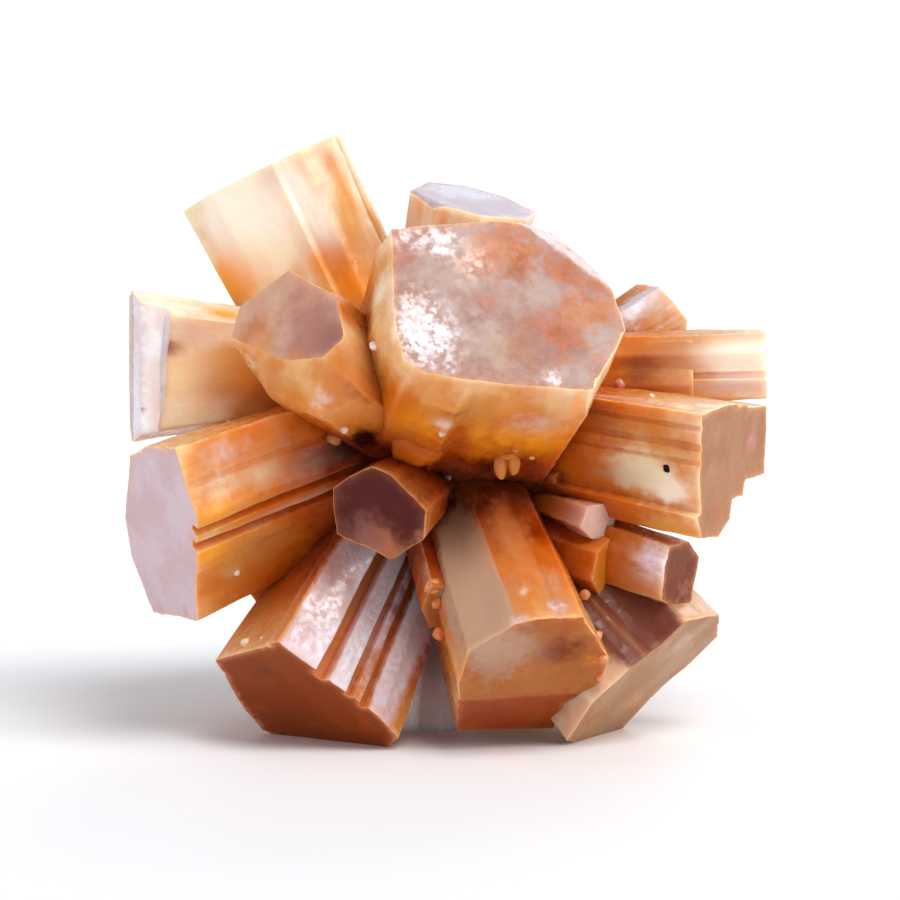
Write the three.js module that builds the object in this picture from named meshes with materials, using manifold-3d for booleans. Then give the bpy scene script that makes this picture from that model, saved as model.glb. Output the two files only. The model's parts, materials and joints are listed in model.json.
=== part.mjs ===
// Aragonite sputnik cluster: pseudo-hexagonal prisms that grew outwards in every direction from one
// centre, fused where they meet, each ending in a flat face. The whole specimen is one solid.
// Millimetres, +Z up, -Y towards the viewer. The origin is under the middle, on the resting plane.

import * as THREE from "three";
import { mergeVertices } from "three/addons/utils/BufferGeometryUtils.js";
import Module from "manifold-3d";

const wasm = await Module();
wasm.setup();

// Driving dimensions.
const REACH = 31; // growth centre to the end of a full-grown crystal
const CORE_HEIGHT = 26.5; // growth centre above the resting plane
const CORE_RADIUS = 10; // solid heart where all the roots are fused
const EDGE_BEVEL = 0.35; // worn edge round each end face
const ROOT_SHARE = 0.72; // a crystal's width at the growth centre, as a share of its width at the end

const UP = new THREE.Vector3(0, 0, 1);
const AWAY = new THREE.Vector3(0, 1, 0);
const STEEP = 0.8; // an axis that rises or falls more steeply than this takes its bearings from AWAY

// The corners of a twinned prism, [u, v], from its width and height across the corners. shares pushes
// single corners in or out.
function twin(width, height, turn = 0, shares = [1, 1, 1, 1, 1, 1]) {
  return shares.map((share, i) => {
    const angle = THREE.MathUtils.degToRad(turn + (i * 360) / shares.length);
    return [(Math.cos(angle) * share * width) / 2, (Math.sin(angle) * share * height) / 2];
  });
}

// The crystals. root is the point that the axis starts from and tip the middle of the end face, both from
// the growth centre. blades are the parallel prisms that a crystal is grown from:
//   outline  corners across the axis, [u, v], counterclockwise as the end face is looked at
//   grooves  along the sides: [edge, place along the edge, width, depth]
//   short    how far the blade ends below the tip
//   slope    rise of the end face per millimetre along u and v
//   chips    facets across the rim of the end: [direction in degrees, distance of the facet's upper edge
//            from the axis, angle between facet and end face]
const CRYSTALS = {
  // Towards the viewer.
  crown: {
    root: [-1, 0, 0],
    tip: [5, -24.7, 15.1],
    rootShare: 0.86,
    blades: [
      {
        outline: [
          [-10, 0], [-8.8, -5.2], [-0.5, -7.6], [7.2, -8.3], [11.1, -2.1],
          [10, 4.2], [6, 9], [-1, 9.2], [-9.6, 8.6],
        ],
        chips: [[48, 8.8, 40]],
      },
      {
        short: 3.5,
        outline: [
          [-11.8, 0.5], [-10, -6.2], [-5, -8.6], [-3.6, -7.4], [-0.5, -8.4], [7.4, -9.2], [10.6, -3],
          [9, 4], [-1, 8.6], [-10.4, 8],
        ],
        slope: [0, 0.1],
      },
    ],
  },
  leftFace: {
    tip: [-14.7, -18.7, 14.3],
    rootShare: 0.8,
    blades: [
      { outline: [[-5.8, 0.6], [-6, -2.7], [1, -4.7], [5.6, -4.2], [7.3, -2], [5, 1.8], [-2.2, 4.6]] },
      {
        short: 2.8,
        outline: [
          [-7.6, 1.6], [-7.6, -2.6], [-1.9, -7.2], [5, -8.8], [8.8, -5.8], [7.6, -1], [3.2, 3.6], [-4.4, 5.4],
        ],
        slope: [0, 0.12],
      },
    ],
  },
  heart: {
    tip: [-6.7, -21.4, -3.1],
    blades: [
      {
        outline: [
          [-2.8, 2.7], [-4.3, 1.5], [-4.1, -2.9], [-1.6, -3.8], [1.1, -5], [4.3, -3], [4.8, -0.3], [1.5, 3],
          [-0.4, 3.6],
        ],
      },
    ],
  },
  leftLower: {
    root: [0, 0, 3],
    tip: [-27.1, -13.7, -6.4],
    rootShare: 0.78,
    blades: [
      {
        outline: [
          [-8.3, 0.6], [-9.6, -3.6], [-8.3, -9.2], [2.7, -8.5], [10.3, 2.5], [10, 9.3], [2.5, 8.7],
          [-2.1, 7.3],
        ],
        grooves: [[3, 0.7, 1.3, 0.9], [3, 0.86, 1.2, 0.9], [4, 0.45, 0.9, 0.4], [5, 0.4, 1, 0.4]],
      },
    ],
  },
  footLeft: {
    root: [-2, 0, 0],
    tip: [-13.5, -16.6, -21.3],
    rootShare: 0.62,
    blades: [
      {
        outline: [
          [-9.3, -4], [-9, -7.2], [-5, -9.5], [3, -9.8], [7.8, -5.8], [7.3, -2.5], [1.5, 8.5], [-1.7, 7],
          [-8.3, 4.2],
        ],
        grooves: [[5, 0.16, 0.9, 0.8], [5, 0.3, 0.7, 0.5], [5, 0.56, 1.4, 1], [6, 0.5, 0.8, 0.3]],
      },
    ],
  },
  footFront: {
    tip: [7.6, -20.9, -19.2],
    rootShare: 0.76,
    blades: [
      {
        outline: [
          [-7.4, 0], [-4.8, -7.6], [5.2, -8.2], [4.3, -4.5], [7.2, -1], [6.9, 2.5], [2.9, 8.4], [-1.7, 8.5],
          [-3.7, 7.8], [-7.3, 4.4],
        ],
        grooves: [[6, 0.5, 0.9, 0.4]],
        chips: [[270, 4.3, 14]],
      },
      { short: 9, outline: [[-9, 3.6], [-9.2, 0], [-7.6, -3], [-5, -2], [-5, 3.4]] },
    ],
  },
  footMiddle: { root: [0, -2, 0], tip: [-1.4, -3.5, -27], blades: [{ outline: twin(5, 6, 20) }] },
  // To the left and on top.
  leftUpper: {
    root: [0, 0, 8.1],
    tip: [-30.5, -3.2, 8.2],
    rootShare: 0.35,
    blades: [
      {
        outline: [[-7, 0], [-4, -6.4], [1.5, -7], [6, -5.8], [6.6, 6], [2, 7.6], [-5, 6.6]],
        chips: [[0, 4.9, 45]],
      },
    ],
  },
  topLeft: {
    root: [-5, -1.5, 0],
    tip: [-18.1, 1.1, 26.6],
    rootShare: 0.8,
    blades: [
      {
        outline: [
          [-8.4, -2], [-5, -5.6], [1.6, -6.4], [2.2, -5.9], [4.4, -6], [7.8, -3.8], [8.8, 0.4], [6, 5.6],
          [-3, 6],
        ],
        grooves: [[5, 0.4, 1.2, 0.5]],
      },
    ],
  },
  top: {
    root: [-3, 3, 2],
    tip: [2.2, -1.5, 24.3],
    blades: [
      {
        outline: [
          [-6, -2.6], [-3.6, -5.6], [1, -6], [5.4, -3.4], [6.2, 0.6], [3, 4], [-0.8, 4.7], [-4.6, 2.6],
        ],
        chips: [[225, 5.8, 40]],
      },
    ],
  },
  // To the right.
  rightUpper: {
    root: [0, 0, 8],
    tip: [30.3, -1.2, 8.6],
    rootShare: 0.95,
    blades: [
      {
        outline: [[-4.6, -3.2], [4, -3.4], [5.6, 0], [3.6, 3], [-3.4, 3], [-5, 1.4]],
        grooves: [[5, 0.5, 0.8, 0.4]],
      },
      { short: 7, outline: [[-5.4, -1.6], [-4.6, -4], [0, -4], [0, 2.6], [-4, 2.6]] },
    ],
  },
  right: {
    root: [1, 0, 3],
    tip: [26.5, -13.3, -0.7],
    rootShare: 0.8,
    blades: [
      {
        outline: [
          [-9, 6.2], [-7.6, 0], [-6.4, -3.4], [-7.2, -3.8], [-5.6, -6], [-1.6, -6.2], [0.7, -4.7],
          [0.8, -2.9], [3.1, -2.7], [3.5, -1.2], [7.8, -1], [6.1, 5.7], [-1.6, 6.6],
        ],
        grooves: [[0, 0.25, 0.7, 0.35], [0, 0.55, 0.9, 0.4], [0, 0.8, 0.6, 0.3]],
      },
    ],
  },
  rightLower: {
    root: [0, 0, -5],
    tip: [21.5, -14, -10.4],
    rootShare: 1.15,
    blades: [
      {
        outline: [[-3.3, 1], [-2.6, -2.2], [0.5, -3.4], [3.4, -3], [3.2, 1.4], [0.6, 3.2], [-3, 3.1]],
        grooves: [[6, 0.5, 0.7, 0.4]],
      },
    ],
  },
  footRight: {
    root: [2, 0, -3],
    tip: [19.4, -10, -20.4],
    rootShare: 0.8,
    blades: [
      {
        outline: [
          [-3.4, 7.8], [-4.9, 5], [-7.8, 2.4], [-10.2, -2], [-8.6, -7.4], [-2, -9.4], [3.6, -8.2], [5, -2.3],
          [7.3, 0.3], [8.5, 3.7], [4, 7.4],
        ],
        grooves: [[1, 0.5, 1.2, 0.8]],
      },
    ],
  },
  rightBackUpper: { tip: [21, 9.5, 12.4], blades: [{ outline: twin(10, 8, 0) }] },
  // Away from the viewer.
  backTop: {
    root: [0, 2, 0],
    tip: [5, 16.5, 18.4],
    blades: [
      { outline: twin(12, 10, 10, [1, 0.9, 1, 1.05, 0.9, 1]), slope: [0.06, 0] },
      { short: 3, outline: twin(7, 8, 40).map(([u, v]) => [u + 4.5, v - 1.5]) },
    ],
  },
  back: {
    tip: [-3.5, 27, 5.5],
    rootShare: 0.8,
    blades: [
      {
        outline: twin(17, 15, 15, [1, 1, 0.92, 1, 1.05, 0.9]),
        grooves: [[0, 0.5, 1.2, 0.8], [2, 0.35, 1, 0.6], [2, 0.7, 1.4, 0.9], [4, 0.5, 0.9, 0.6]],
        chips: [[200, 6.4, 35]],
      },
    ],
  },
  backRightUpper: {
    tip: [16.5, 21, 8],
    blades: [
      { outline: twin(13, 11, 0, [1, 1, 1, 0.9, 1, 1]), grooves: [[1, 0.5, 1, 0.6], [4, 0.4, 1.1, 0.7]] },
      { short: 4, outline: twin(6, 7, 20).map(([u, v]) => [u - 5.5, v - 2]) },
    ],
  },
  backLeftUpper: {
    tip: [-16.5, 19.5, 11.5],
    blades: [
      {
        outline: twin(13, 12, 25, [1, 1.05, 0.95, 1, 0.9, 1]),
        grooves: [[3, 0.5, 1.1, 0.7]],
        slope: [0, -0.08],
      },
    ],
  },
  backLeft: {
    root: [0, 0, 2],
    tip: [-25, 12, 4],
    blades: [
      { outline: twin(11, 12, 30), grooves: [[2, 0.5, 0.9, 0.6]] },
      { short: 5, outline: twin(6, 6, 0).map(([u, v]) => [u - 4.5, v + 2.5]) },
    ],
  },
  backRight: {
    tip: [24, 13.5, -1.5],
    blades: [
      {
        outline: twin(13, 12, 5, [1, 0.9, 1, 1, 1, 0.9]),
        grooves: [[1, 0.3, 0.9, 0.6], [1, 0.65, 1.2, 0.8], [5, 0.5, 1, 0.5]],
        chips: [[90, 4.2, 50]],
      },
    ],
  },
  backLeftLower: {
    tip: [-17, 22, -7],
    rootShare: 0.8,
    blades: [
      {
        outline: twin(15, 12, 0, [1, 1, 0.9, 1, 1.05, 1]),
        grooves: [[0, 0.5, 1.3, 0.9], [1, 0.5, 1.1, 0.6]],
      },
      { short: 2.2, outline: twin(8, 8, 30).map(([u, v]) => [u + 5, v - 3.5]) },
    ],
  },
  backLower: {
    tip: [7.5, 24.5, -9.5],
    blades: [
      { outline: twin(14, 13, 12), grooves: [[0, 0.6, 1, 0.7], [3, 0.4, 1.3, 0.8]], slope: [0.07, 0.05] },
    ],
  },
  footBackLeft: {
    tip: [-9.5, 17, -24.2],
    blades: [{ outline: twin(13, 12, 20, [1, 1, 1, 0.92, 1, 1]), grooves: [[1, 0.5, 1.2, 0.8]] }],
  },
  footBackRight: {
    tip: [12.5, 14.5, -24.6],
    blades: [
      { outline: twin(12, 11, 0), grooves: [[2, 0.5, 1, 0.6]] },
      { short: 6, outline: twin(7, 7, 15).map(([u, v]) => [u + 4, v + 3]) },
    ],
  },
  footSideLeft: { tip: [-18, 6.5, -13], blades: [{ outline: twin(11, 10, 10), chips: [[300, 3.6, 40]] }] },
  rightBackLower: { tip: [19.5, 8.5, -14], blades: [{ outline: twin(9, 10, 25) }] },
};

// Small crystals crowded in between the large ones: [x, y, z of the end, width], on axes from the centre.
const SPROUT_FLATNESS = 0.85; // height across the corners, as a share of the width
const SPROUT_TURN = 17; // degrees from one small crystal's corners to the next one's
const SPROUTS = [
  [-8, 11, 17, 6], [-14.5, 7, 15, 5], [-3, 8, 20.5, 4.5], [12, 15, 14.5, 6], [14, 5, 15.5, 5.5],
  [6, 22, 1, 6.5], [-12, 21, 1, 6], [-8.5, 21, -9, 6.5], [-22, 11, -5, 6.5], [-19, -2, -14, 6],
  [16.5, 17, -7, 6.5], [1.5, 16, -17.5, 6], [22, 6, 4.5, 6], [4, 6, -23, 6], [-15, 11, -16, 6],
  [-2.5, -18, -1.2, 7], [-10.5, -15.5, 3.4, 5], [14, -10.5, -5.4, 6], [17, -4.5, 10.5, 6.5],
];

// Lumps grown on the sides of the crystals: [x, y, z, width].
const LUMP_SHAPE = [1, 0.9, 1.15];
const KNOBS = [
  [4.7, -14.6, -0.2, 3.2], [3.4, -16, 0.2, 1.8], [6.6, -18.4, 2.2, 1.6], [8.4, -19.4, 2.8, 1.4],
  [-0.4, -23.6, 4.8, 2], [1, -21, 3.6, 1.6], [-7, -19.5, 11.4, 2.2], [-11.5, -15.4, 2.9, 2.2],
  [-9.6, -17.5, 3.8, 2], [-8.6, -16.5, 2.6, 1.6], [16.1, -6.8, 7, 1.8], [18.6, -9.6, 6, 1.6],
  [17.2, -6.4, 9.6, 1.8], [12.3, -12, -4.8, 2.8], [14.2, -13.2, -4.6, 3], [-1.6, -18.4, -11, 2.2],
  [-1.4, -18, -13.2, 1.8], [-1, -18.6, -15.4, 2], [11.2, -12.4, -8, 1.6], [12.6, -15, -12.2, 2],
  [-20.6, -13.6, 3.6, 1.4], [-20, -15.2, -10, 1.5], [-19, -17, -16.4, 1.4], [-17.2, -18.6, -16, 1.2],
];

// Druse: blunt little crystals that crowd the recesses round the heart, evenly spread on a spiral.
const DRUSE_COUNT = 90;
const DRUSE_RADIUS = 13.5;
const DRUSE_WIDTH = 3.4;
const GOLDEN_ANGLE = Math.PI * (3 - Math.sqrt(5));

// Cuts a groove with sloping walls into one edge of an outline.
function withGrooves(outline, grooves = []) {
  const points = [];
  outline.forEach(([u0, v0], edge) => {
    const [u1, v1] = outline[(edge + 1) % outline.length];
    const length = Math.hypot(u1 - u0, v1 - v0);
    const [du, dv] = [(u1 - u0) / length, (v1 - v0) / length];
    points.push([u0, v0]);
    grooves
      .filter(([on]) => on === edge)
      .sort((a, b) => a[1] - b[1])
      .forEach(([, place, width, depth]) => {
        const middle = place * length;
        [
          [-0.5 * width, 0],
          [-0.25 * width, depth],
          [0.25 * width, depth],
          [0.5 * width, 0],
        ].forEach(([along, inward]) => {
          const way = middle + along;
          points.push([u0 + du * way - dv * inward, v0 + dv * way + du * inward]);
        });
      });
  });
  return points;
}

function solidOf(geometry) {
  geometry.deleteAttribute("normal");
  geometry.deleteAttribute("uv");
  const merged = mergeVertices(geometry, 1e-4);
  return new wasm.Manifold(
    new wasm.Mesh({
      numProp: 3,
      vertProperties: merged.attributes.position.array,
      triVerts: new Uint32Array(merged.index.array),
    }),
  );
}

// The frame of a crystal: w along its axis, v up (or away, on a steep one) and u to the right of v.
function crystalFrame(root, tip) {
  const w = tip.clone().sub(root).normalize();
  const bearing = Math.abs(w.z) < STEEP ? UP : AWAY.clone().multiplyScalar(Math.sign(w.z));
  const v = bearing.clone().addScaledVector(w, -bearing.dot(w)).normalize();
  const u = v.clone().cross(w);
  return new THREE.Matrix4().makeBasis(u, v, w).setPosition(root);
}

// The block of space beyond a chip's facet, to be cut away, in the crystal's own frame.
function chipBlock([direction, from, angle], length) {
  const [a, b] = [direction, angle].map(THREE.MathUtils.degToRad);
  const outward = new THREE.Vector3(Math.cos(a) * Math.sin(b), Math.sin(a) * Math.sin(b), Math.cos(b));
  const size = 2 * REACH;
  const block = new THREE.BoxGeometry(size, size, size);
  block.translate(0, 0, size / 2);
  block.lookAt(outward);
  block.translate(Math.cos(a) * from, Math.sin(a) * from, length);
  return block;
}

function bladeSolid(blade, frame, length, rootShare) {
  const { outline, grooves, short = 0, slope = [0, 0], chips = [] } = blade;
  const shape = new THREE.Shape(withGrooves(outline, grooves).map(([u, v]) => new THREE.Vector2(u, v)));
  const geometry = new THREE.ExtrudeGeometry(shape, {
    depth: length - short - EDGE_BEVEL,
    steps: 1,
    bevelSegments: 1,
    bevelThickness: EDGE_BEVEL,
    bevelSize: EDGE_BEVEL,
    bevelOffset: -EDGE_BEVEL,
  });
  const place = geometry.attributes.position;
  const p = new THREE.Vector3();
  for (let i = 0; i < place.count; i++) {
    p.fromBufferAttribute(place, i);
    const grown = THREE.MathUtils.clamp(p.z / length, 0, 1);
    const share = THREE.MathUtils.lerp(rootShare, 1, grown);
    p.x *= share;
    p.y *= share;
    if (grown > 0.5) p.z += slope[0] * p.x + slope[1] * p.y;
    place.setXYZ(i, p.x, p.y, p.z);
  }
  const cuts = chips.map((chip) => solidOf(chipBlock(chip, length).applyMatrix4(frame)));
  return cuts.reduce((solid, cut) => solid.subtract(cut), solidOf(geometry.applyMatrix4(frame)));
}

function crystalSolids({ root = [0, 0, 0], tip, rootShare = ROOT_SHARE, blades }) {
  const from = new THREE.Vector3(...root);
  const to = new THREE.Vector3(...tip);
  const frame = crystalFrame(from, to);
  return blades.map((blade) => bladeSolid(blade, frame, to.distanceTo(from), rootShare));
}

function sproutSolids([x, y, z, width], i) {
  const outline = twin(width, SPROUT_FLATNESS * width, SPROUT_TURN * i);
  return crystalSolids({ tip: [x, y, z], blades: [{ outline }] });
}

function lumpSolid([x, y, z, width], i) {
  const lump = new THREE.DodecahedronGeometry(width / 2);
  lump.scale(...LUMP_SHAPE);
  lump.rotateX(i);
  lump.rotateZ(2 * i);
  return solidOf(lump.translate(x, y, z));
}

function druseSolids() {
  return Array.from({ length: DRUSE_COUNT }, (_, i) => {
    const z = 1 - (2 * i + 1) / DRUSE_COUNT;
    const around = Math.sqrt(1 - z * z);
    const turn = i * GOLDEN_ANGLE;
    const place = new THREE.Vector3(around * Math.cos(turn), around * Math.sin(turn), z);
    place.multiplyScalar(DRUSE_RADIUS + Math.cos(3 * i));
    return lumpSolid([...place, DRUSE_WIDTH * (1 + 0.25 * Math.sin(5 * i))], i);
  });
}

function clusterGeometry() {
  const heart = solidOf(new THREE.IcosahedronGeometry(CORE_RADIUS, 2));
  const grown = [
    ...Object.values(CRYSTALS).flatMap(crystalSolids),
    ...SPROUTS.flatMap(sproutSolids),
    ...KNOBS.map(lumpSolid),
    ...druseSolids(),
  ].reduce((all, solid) => all.add(solid), heart);
  const ground = new THREE.BoxGeometry(6 * REACH, 6 * REACH, REACH);
  ground.translate(0, 0, -CORE_HEIGHT - REACH / 2);
  const rested = grown.subtract(solidOf(ground));
  // Spaces sealed in between the roots are filled: only the outer skin is kept.
  const skin = rested.decompose().reduce((most, body) => (body.volume() > most.volume() ? body : most));
  const mesh = skin.getMesh();
  const geometry = new THREE.BufferGeometry();
  geometry.setAttribute("position", new THREE.BufferAttribute(mesh.vertProperties, 3));
  geometry.setIndex(new THREE.BufferAttribute(mesh.triVerts, 1));
  return geometry;
}

const aragonite = new THREE.MeshStandardMaterial({ color: 0xd98a4e, roughness: 0.35, metalness: 0 });

const cluster = new THREE.Mesh(clusterGeometry(), aragonite);
cluster.name = "crystal_cluster";
cluster.geometry.computeBoundingBox();
const middle = cluster.geometry.boundingBox.getCenter(new THREE.Vector3());
cluster.position.set(-middle.x, -middle.y, CORE_HEIGHT);

const specimen = new THREE.Group();
specimen.add(cluster);

export default specimen;
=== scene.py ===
import json, math, random
import bmesh, bpy
import numpy as np
from mathutils import Matrix, Vector, kdtree, noise
from mathutils.geometry import delaunay_2d_cdt

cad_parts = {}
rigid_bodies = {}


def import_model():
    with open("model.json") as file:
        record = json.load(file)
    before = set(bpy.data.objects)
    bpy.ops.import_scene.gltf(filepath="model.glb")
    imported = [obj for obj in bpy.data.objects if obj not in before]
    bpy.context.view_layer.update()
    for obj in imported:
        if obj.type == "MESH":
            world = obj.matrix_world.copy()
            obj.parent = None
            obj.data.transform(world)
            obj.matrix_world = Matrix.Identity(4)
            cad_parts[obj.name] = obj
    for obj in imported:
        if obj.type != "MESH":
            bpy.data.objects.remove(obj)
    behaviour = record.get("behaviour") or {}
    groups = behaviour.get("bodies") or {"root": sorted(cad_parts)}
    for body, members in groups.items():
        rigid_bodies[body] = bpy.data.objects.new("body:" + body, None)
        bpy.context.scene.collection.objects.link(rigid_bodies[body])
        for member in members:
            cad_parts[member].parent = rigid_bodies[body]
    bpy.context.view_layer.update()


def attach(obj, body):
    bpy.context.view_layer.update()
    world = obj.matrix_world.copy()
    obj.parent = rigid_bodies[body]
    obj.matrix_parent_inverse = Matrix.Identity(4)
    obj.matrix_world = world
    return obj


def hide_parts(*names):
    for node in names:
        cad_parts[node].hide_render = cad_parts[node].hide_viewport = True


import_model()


# ---- Camera ----
# A long lens looks slightly down at the heart of the cluster, the point that every crystal grew from.
# Places in this file are in mm, unless they say metres, and MM turns them into metres.
MM = 0.001
HEART = Vector((0.341, 0.225, 26.5))  # in the part's frame
VIEW_DOWN = math.radians(5.5)
VIEW_FROM = 0.425  # metres
towards_viewer = Vector((0, -math.cos(VIEW_DOWN), math.sin(VIEW_DOWN)))

camera = bpy.data.objects.new("camera", bpy.data.cameras.new("camera"))
camera.data.sensor_width = 36
camera.data.lens = 176
camera.data.clip_start = 0.01
camera.location = HEART * MM + towards_viewer * VIEW_FROM
camera.rotation_euler = towards_viewer.to_track_quat("Z", "Y").to_euler()
bpy.context.scene.collection.objects.link(camera)
bpy.context.scene.camera = camera


# ---- Floor and light ----
# A wide white table in a bright light tent: soft lamps at the top front, the right, the left and
# behind, and an even glow from the tent's walls.
FLOOR_RADIUS = 30  # metres
LAMPS = (  # name, direction, strength, width in degrees
    ("lamp_top_front", (0.3, -0.5, 0.81), 1.9, 30), ("lamp_right", (0.86, -0.27, 0.42), 1.1, 26),
    ("lamp_left", (-0.97, -0.2, 0.12), 0.6, 22), ("lamp_behind", (0.25, 0.83, 0.5), 0.5, 30),
)
for name, direction, strength, width in LAMPS:
    lamp = bpy.data.lights.new(name, "SUN")
    lamp.energy, lamp.angle = strength, math.radians(width)
    holder = bpy.data.objects.new(name, lamp)
    holder.rotation_euler = Vector(direction).to_track_quat("Z", "Y").to_euler()
    bpy.context.scene.collection.objects.link(holder)

disc = bmesh.new()
bmesh.ops.create_circle(disc, cap_ends=True, radius=FLOOR_RADIUS, segments=96)
floor_mesh = bpy.data.meshes.new("floor")
disc.to_mesh(floor_mesh)
disc.free()
floor = bpy.data.objects.new("floor", floor_mesh)
bpy.context.scene.collection.objects.link(floor)

table_white = bpy.data.materials.new("table white")
table_white.use_nodes = True
shader = table_white.node_tree.nodes["Principled BSDF"].inputs
shader["Base Color"].default_value = (0.93, 0.93, 0.94, 1)
shader["Roughness"].default_value = 0.6
floor_mesh.materials.append(table_white)

tent = bpy.data.worlds.new("tent")
tent.use_nodes = True
bpy.context.scene.world = tent
walls = tent.node_tree
direction = walls.nodes.new("ShaderNodeTexCoord")
height = walls.nodes.new("ShaderNodeSeparateXYZ")
wall = walls.nodes.new("ShaderNodeValToRGB")
low, high = wall.color_ramp.elements
low.position, low.color = 0.06, (1.1, 1.11, 1.14, 1)
high.position, high.color = 0.3, (0.4, 0.41, 0.44, 1)
walls.links.new(direction.outputs["Generated"], height.inputs["Vector"])
walls.links.new(height.outputs["Z"], wall.inputs["Fac"])
walls.links.new(wall.outputs["Color"], walls.nodes["Background"].inputs["Color"])
bpy.context.scene.view_settings.view_transform = "Standard"


# ---- Crystal cluster ----
# One natural piece of aragonite: thick twinned prisms that grew outwards from one centre and are fused
# where they meet. The waxy stone is rust red towards the heart, orange further out and cream at the ends;
# its recesses and the ends of its low crystals are darkened further with painted shade, and its edges
# and glossy spots are lit with painted highlights.
# It is built prism by prism, with striped sides and dull flat ends, then joined into one skin.
def tint(code):
    """A colour written as it shows, such as d98a4e, as the linear values that a shader takes."""
    shown = [int(code[i:i + 2], 16) / 255 for i in (0, 2, 4)]
    return [c / 12.92 if c <= 0.04045 else ((c + 0.055) / 1.055) ** 2.4 for c in shown] + [1]


bench = None  # the node tree that is being wired: effect and waxy put a new one there


def fill(socket, value):
    """Sets a socket, or links it where the value is another node's output."""
    if isinstance(value, bpy.types.NodeSocket):
        bench.links.new(value, socket)
    else:
        socket.default_value = value


def node(kind, at=None, **values):
    """A new node with its settings, and its inputs filled by name, or by number as i0."""
    made = bench.nodes.new("ShaderNode" + kind)
    for key, value in (at or {}).items():
        setattr(made, key, value)
    for key, value in values.items():
        fill(made.inputs[int(key[1:]) if key[1:].isdigit() else key.replace("_", " ")], value)
    return made


def sums(operation, *values, clamp=False):
    made = node("Math", {"operation": operation, "use_clamp": clamp})
    for socket, value in zip(made.inputs, values):
        fill(socket, value)
    return made.outputs[0]


def times(first, second, plus=0.0, clamp=False):
    return sums("MULTIPLY_ADD", first, second, plus, clamp=clamp)


def blend(share, first, second, way="MIX"):
    settings = {"data_type": "RGBA", "blend_type": way, "clamp_factor": True}
    return node("Mix", settings, i0=share, i6=first, i7=second).outputs[2]


def between(value, low, high, from_value=0.0, to_value=1.0):
    """A smooth step from one value to another as the input goes from low to high."""
    return node("MapRange", {"interpolation_type": "SMOOTHSTEP"}, Value=value, From_Min=low, From_Max=high,
                To_Min=from_value, To_Max=to_value).outputs["Result"]


def placed(group, **values):
    """What a group puts out, placed in a tree with its own values."""
    return node("Group", {"node_tree": group}, **values).outputs[0]


def attribute(name):
    return node("Attribute", {"attribute_name": name, "attribute_type": "GEOMETRY"}).outputs


def kept(name):
    """Three values that the mesh keeps on its face corners."""
    return node("SeparateXYZ", Vector=attribute(name)["Vector"]).outputs


def effect(name, output, **inputs):
    """A new node group with its named inputs and output: one is a colour if it is called Color."""
    global bench
    bench = group = bpy.data.node_groups.new(name, "ShaderNodeTree")
    for side, labels in (("OUTPUT", (output,)), ("INPUT", inputs)):
        for label in labels:
            kind = "NodeSocketColor" if label == "Color" else "NodeSocketFloat"
            socket = group.interface.new_socket(name=label, in_out=side, socket_type=kind)
            if side == "INPUT":
                socket.default_value = inputs[label]
    return group, group.nodes.new("NodeGroupInput").outputs, group.nodes.new("NodeGroupOutput").inputs


# Fibres: fine lines and soft bands that run along each crystal.
fibres, fibres_in, fibres_out = effect("fibres", "Mask", Across=1.0, Lengthwise=0.1)
stretch = node("CombineXYZ", X=fibres_in[0], Y=fibres_in[0], Z=fibres_in[1]).outputs[0]
along = attribute("along")["Vector"]
drawn = node("VectorMath", {"operation": "MULTIPLY"}, i0=along, i1=stretch).outputs[0]
lines = node("TexNoise", Vector=drawn, Scale=1.0, Detail=4.0, Roughness=0.6).outputs["Fac"]
fill(fibres_out[0], between(lines, 0.3, 0.7))

# Iron stain and light patches: soft patches in the whole cluster's own space, for rust that the growing
# stone took in and for breaking up the painted shade and highlights.
stain, stain_in, stain_out = effect("iron stain", "Mask", Patch=4.0, Shift=0.0)
spot = node("TexCoord").outputs["Object"]
shifted = node("VectorMath", {"operation": "ADD"}, i0=spot, i1=stain_in[1]).outputs[0]
density = sums("DIVIDE", 1000.0, stain_in[0])
cloud = node("TexNoise", Vector=shifted, Scale=density, Detail=5.0, Roughness=0.6).outputs["Fac"]
fill(stain_out[0], between(cloud, 0.36, 0.64))

# Recess shade: painted shade, a dark rust-brown, along the lines where crystals meet.
recess, recess_in, recess_out = effect("recess dirt", "Color", Color=(1, 1, 1, 1), Amount=1.0)
uneven = times(placed(stain, Patch=1.6, Shift=0.3), 0.75, 0.45)
painted_shade = times(times(kept("seam")[0], uneven), recess_in[1], clamp=True)
fill(recess_out[0], blend(painted_shade, recess_in[0], tint("461004")))

# Sugary grain: the close texture of an end face, as heights.
sugar, sugar_in, sugar_out = effect("sugary grain", "Height", Grain=0.5)
spot = node("TexCoord").outputs["Object"]
density = sums("DIVIDE", 1000.0, sugar_in[0])
cells = node("TexVoronoi", Vector=spot, Scale=density).outputs["Distance"]
fine = node("TexNoise", Vector=spot, Scale=times(density, 0.8), Detail=3.0).outputs["Fac"]
fill(sugar_out[0], times(fine, 0.8, times(cells, -0.6)))


def waxy(name, depth, reach, coat_roughness):
    """A material with the stone's own optics: light spreads a few millimetres inside, under a thin gloss."""
    global bench
    made = bpy.data.materials.new(name)
    made.use_nodes = True
    bench = made.node_tree
    shader = bench.nodes["Principled BSDF"].inputs
    for socket, value in (("IOR", 1.6), ("Specular IOR Level", 0.08), ("Subsurface Weight", depth),
                          ("Subsurface Radius", (1.0, 0.42, 0.2)), ("Subsurface Scale", reach),
                          ("Coat IOR", 1.7), ("Coat Roughness", coat_roughness)):
        shader[socket].default_value = value
    return made, shader


def lit_edges_and_recess_shade(colour, edge, flecks, share, least):
    """The colour with its edges lightened here and there as painted highlight, and painted shade in the recesses."""
    broken = times(edge, times(flecks, share, least), clamp=True)
    return placed(recess, Color=blend(broken, colour, tint("ecc8ac")), Amount=0.8)


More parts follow.
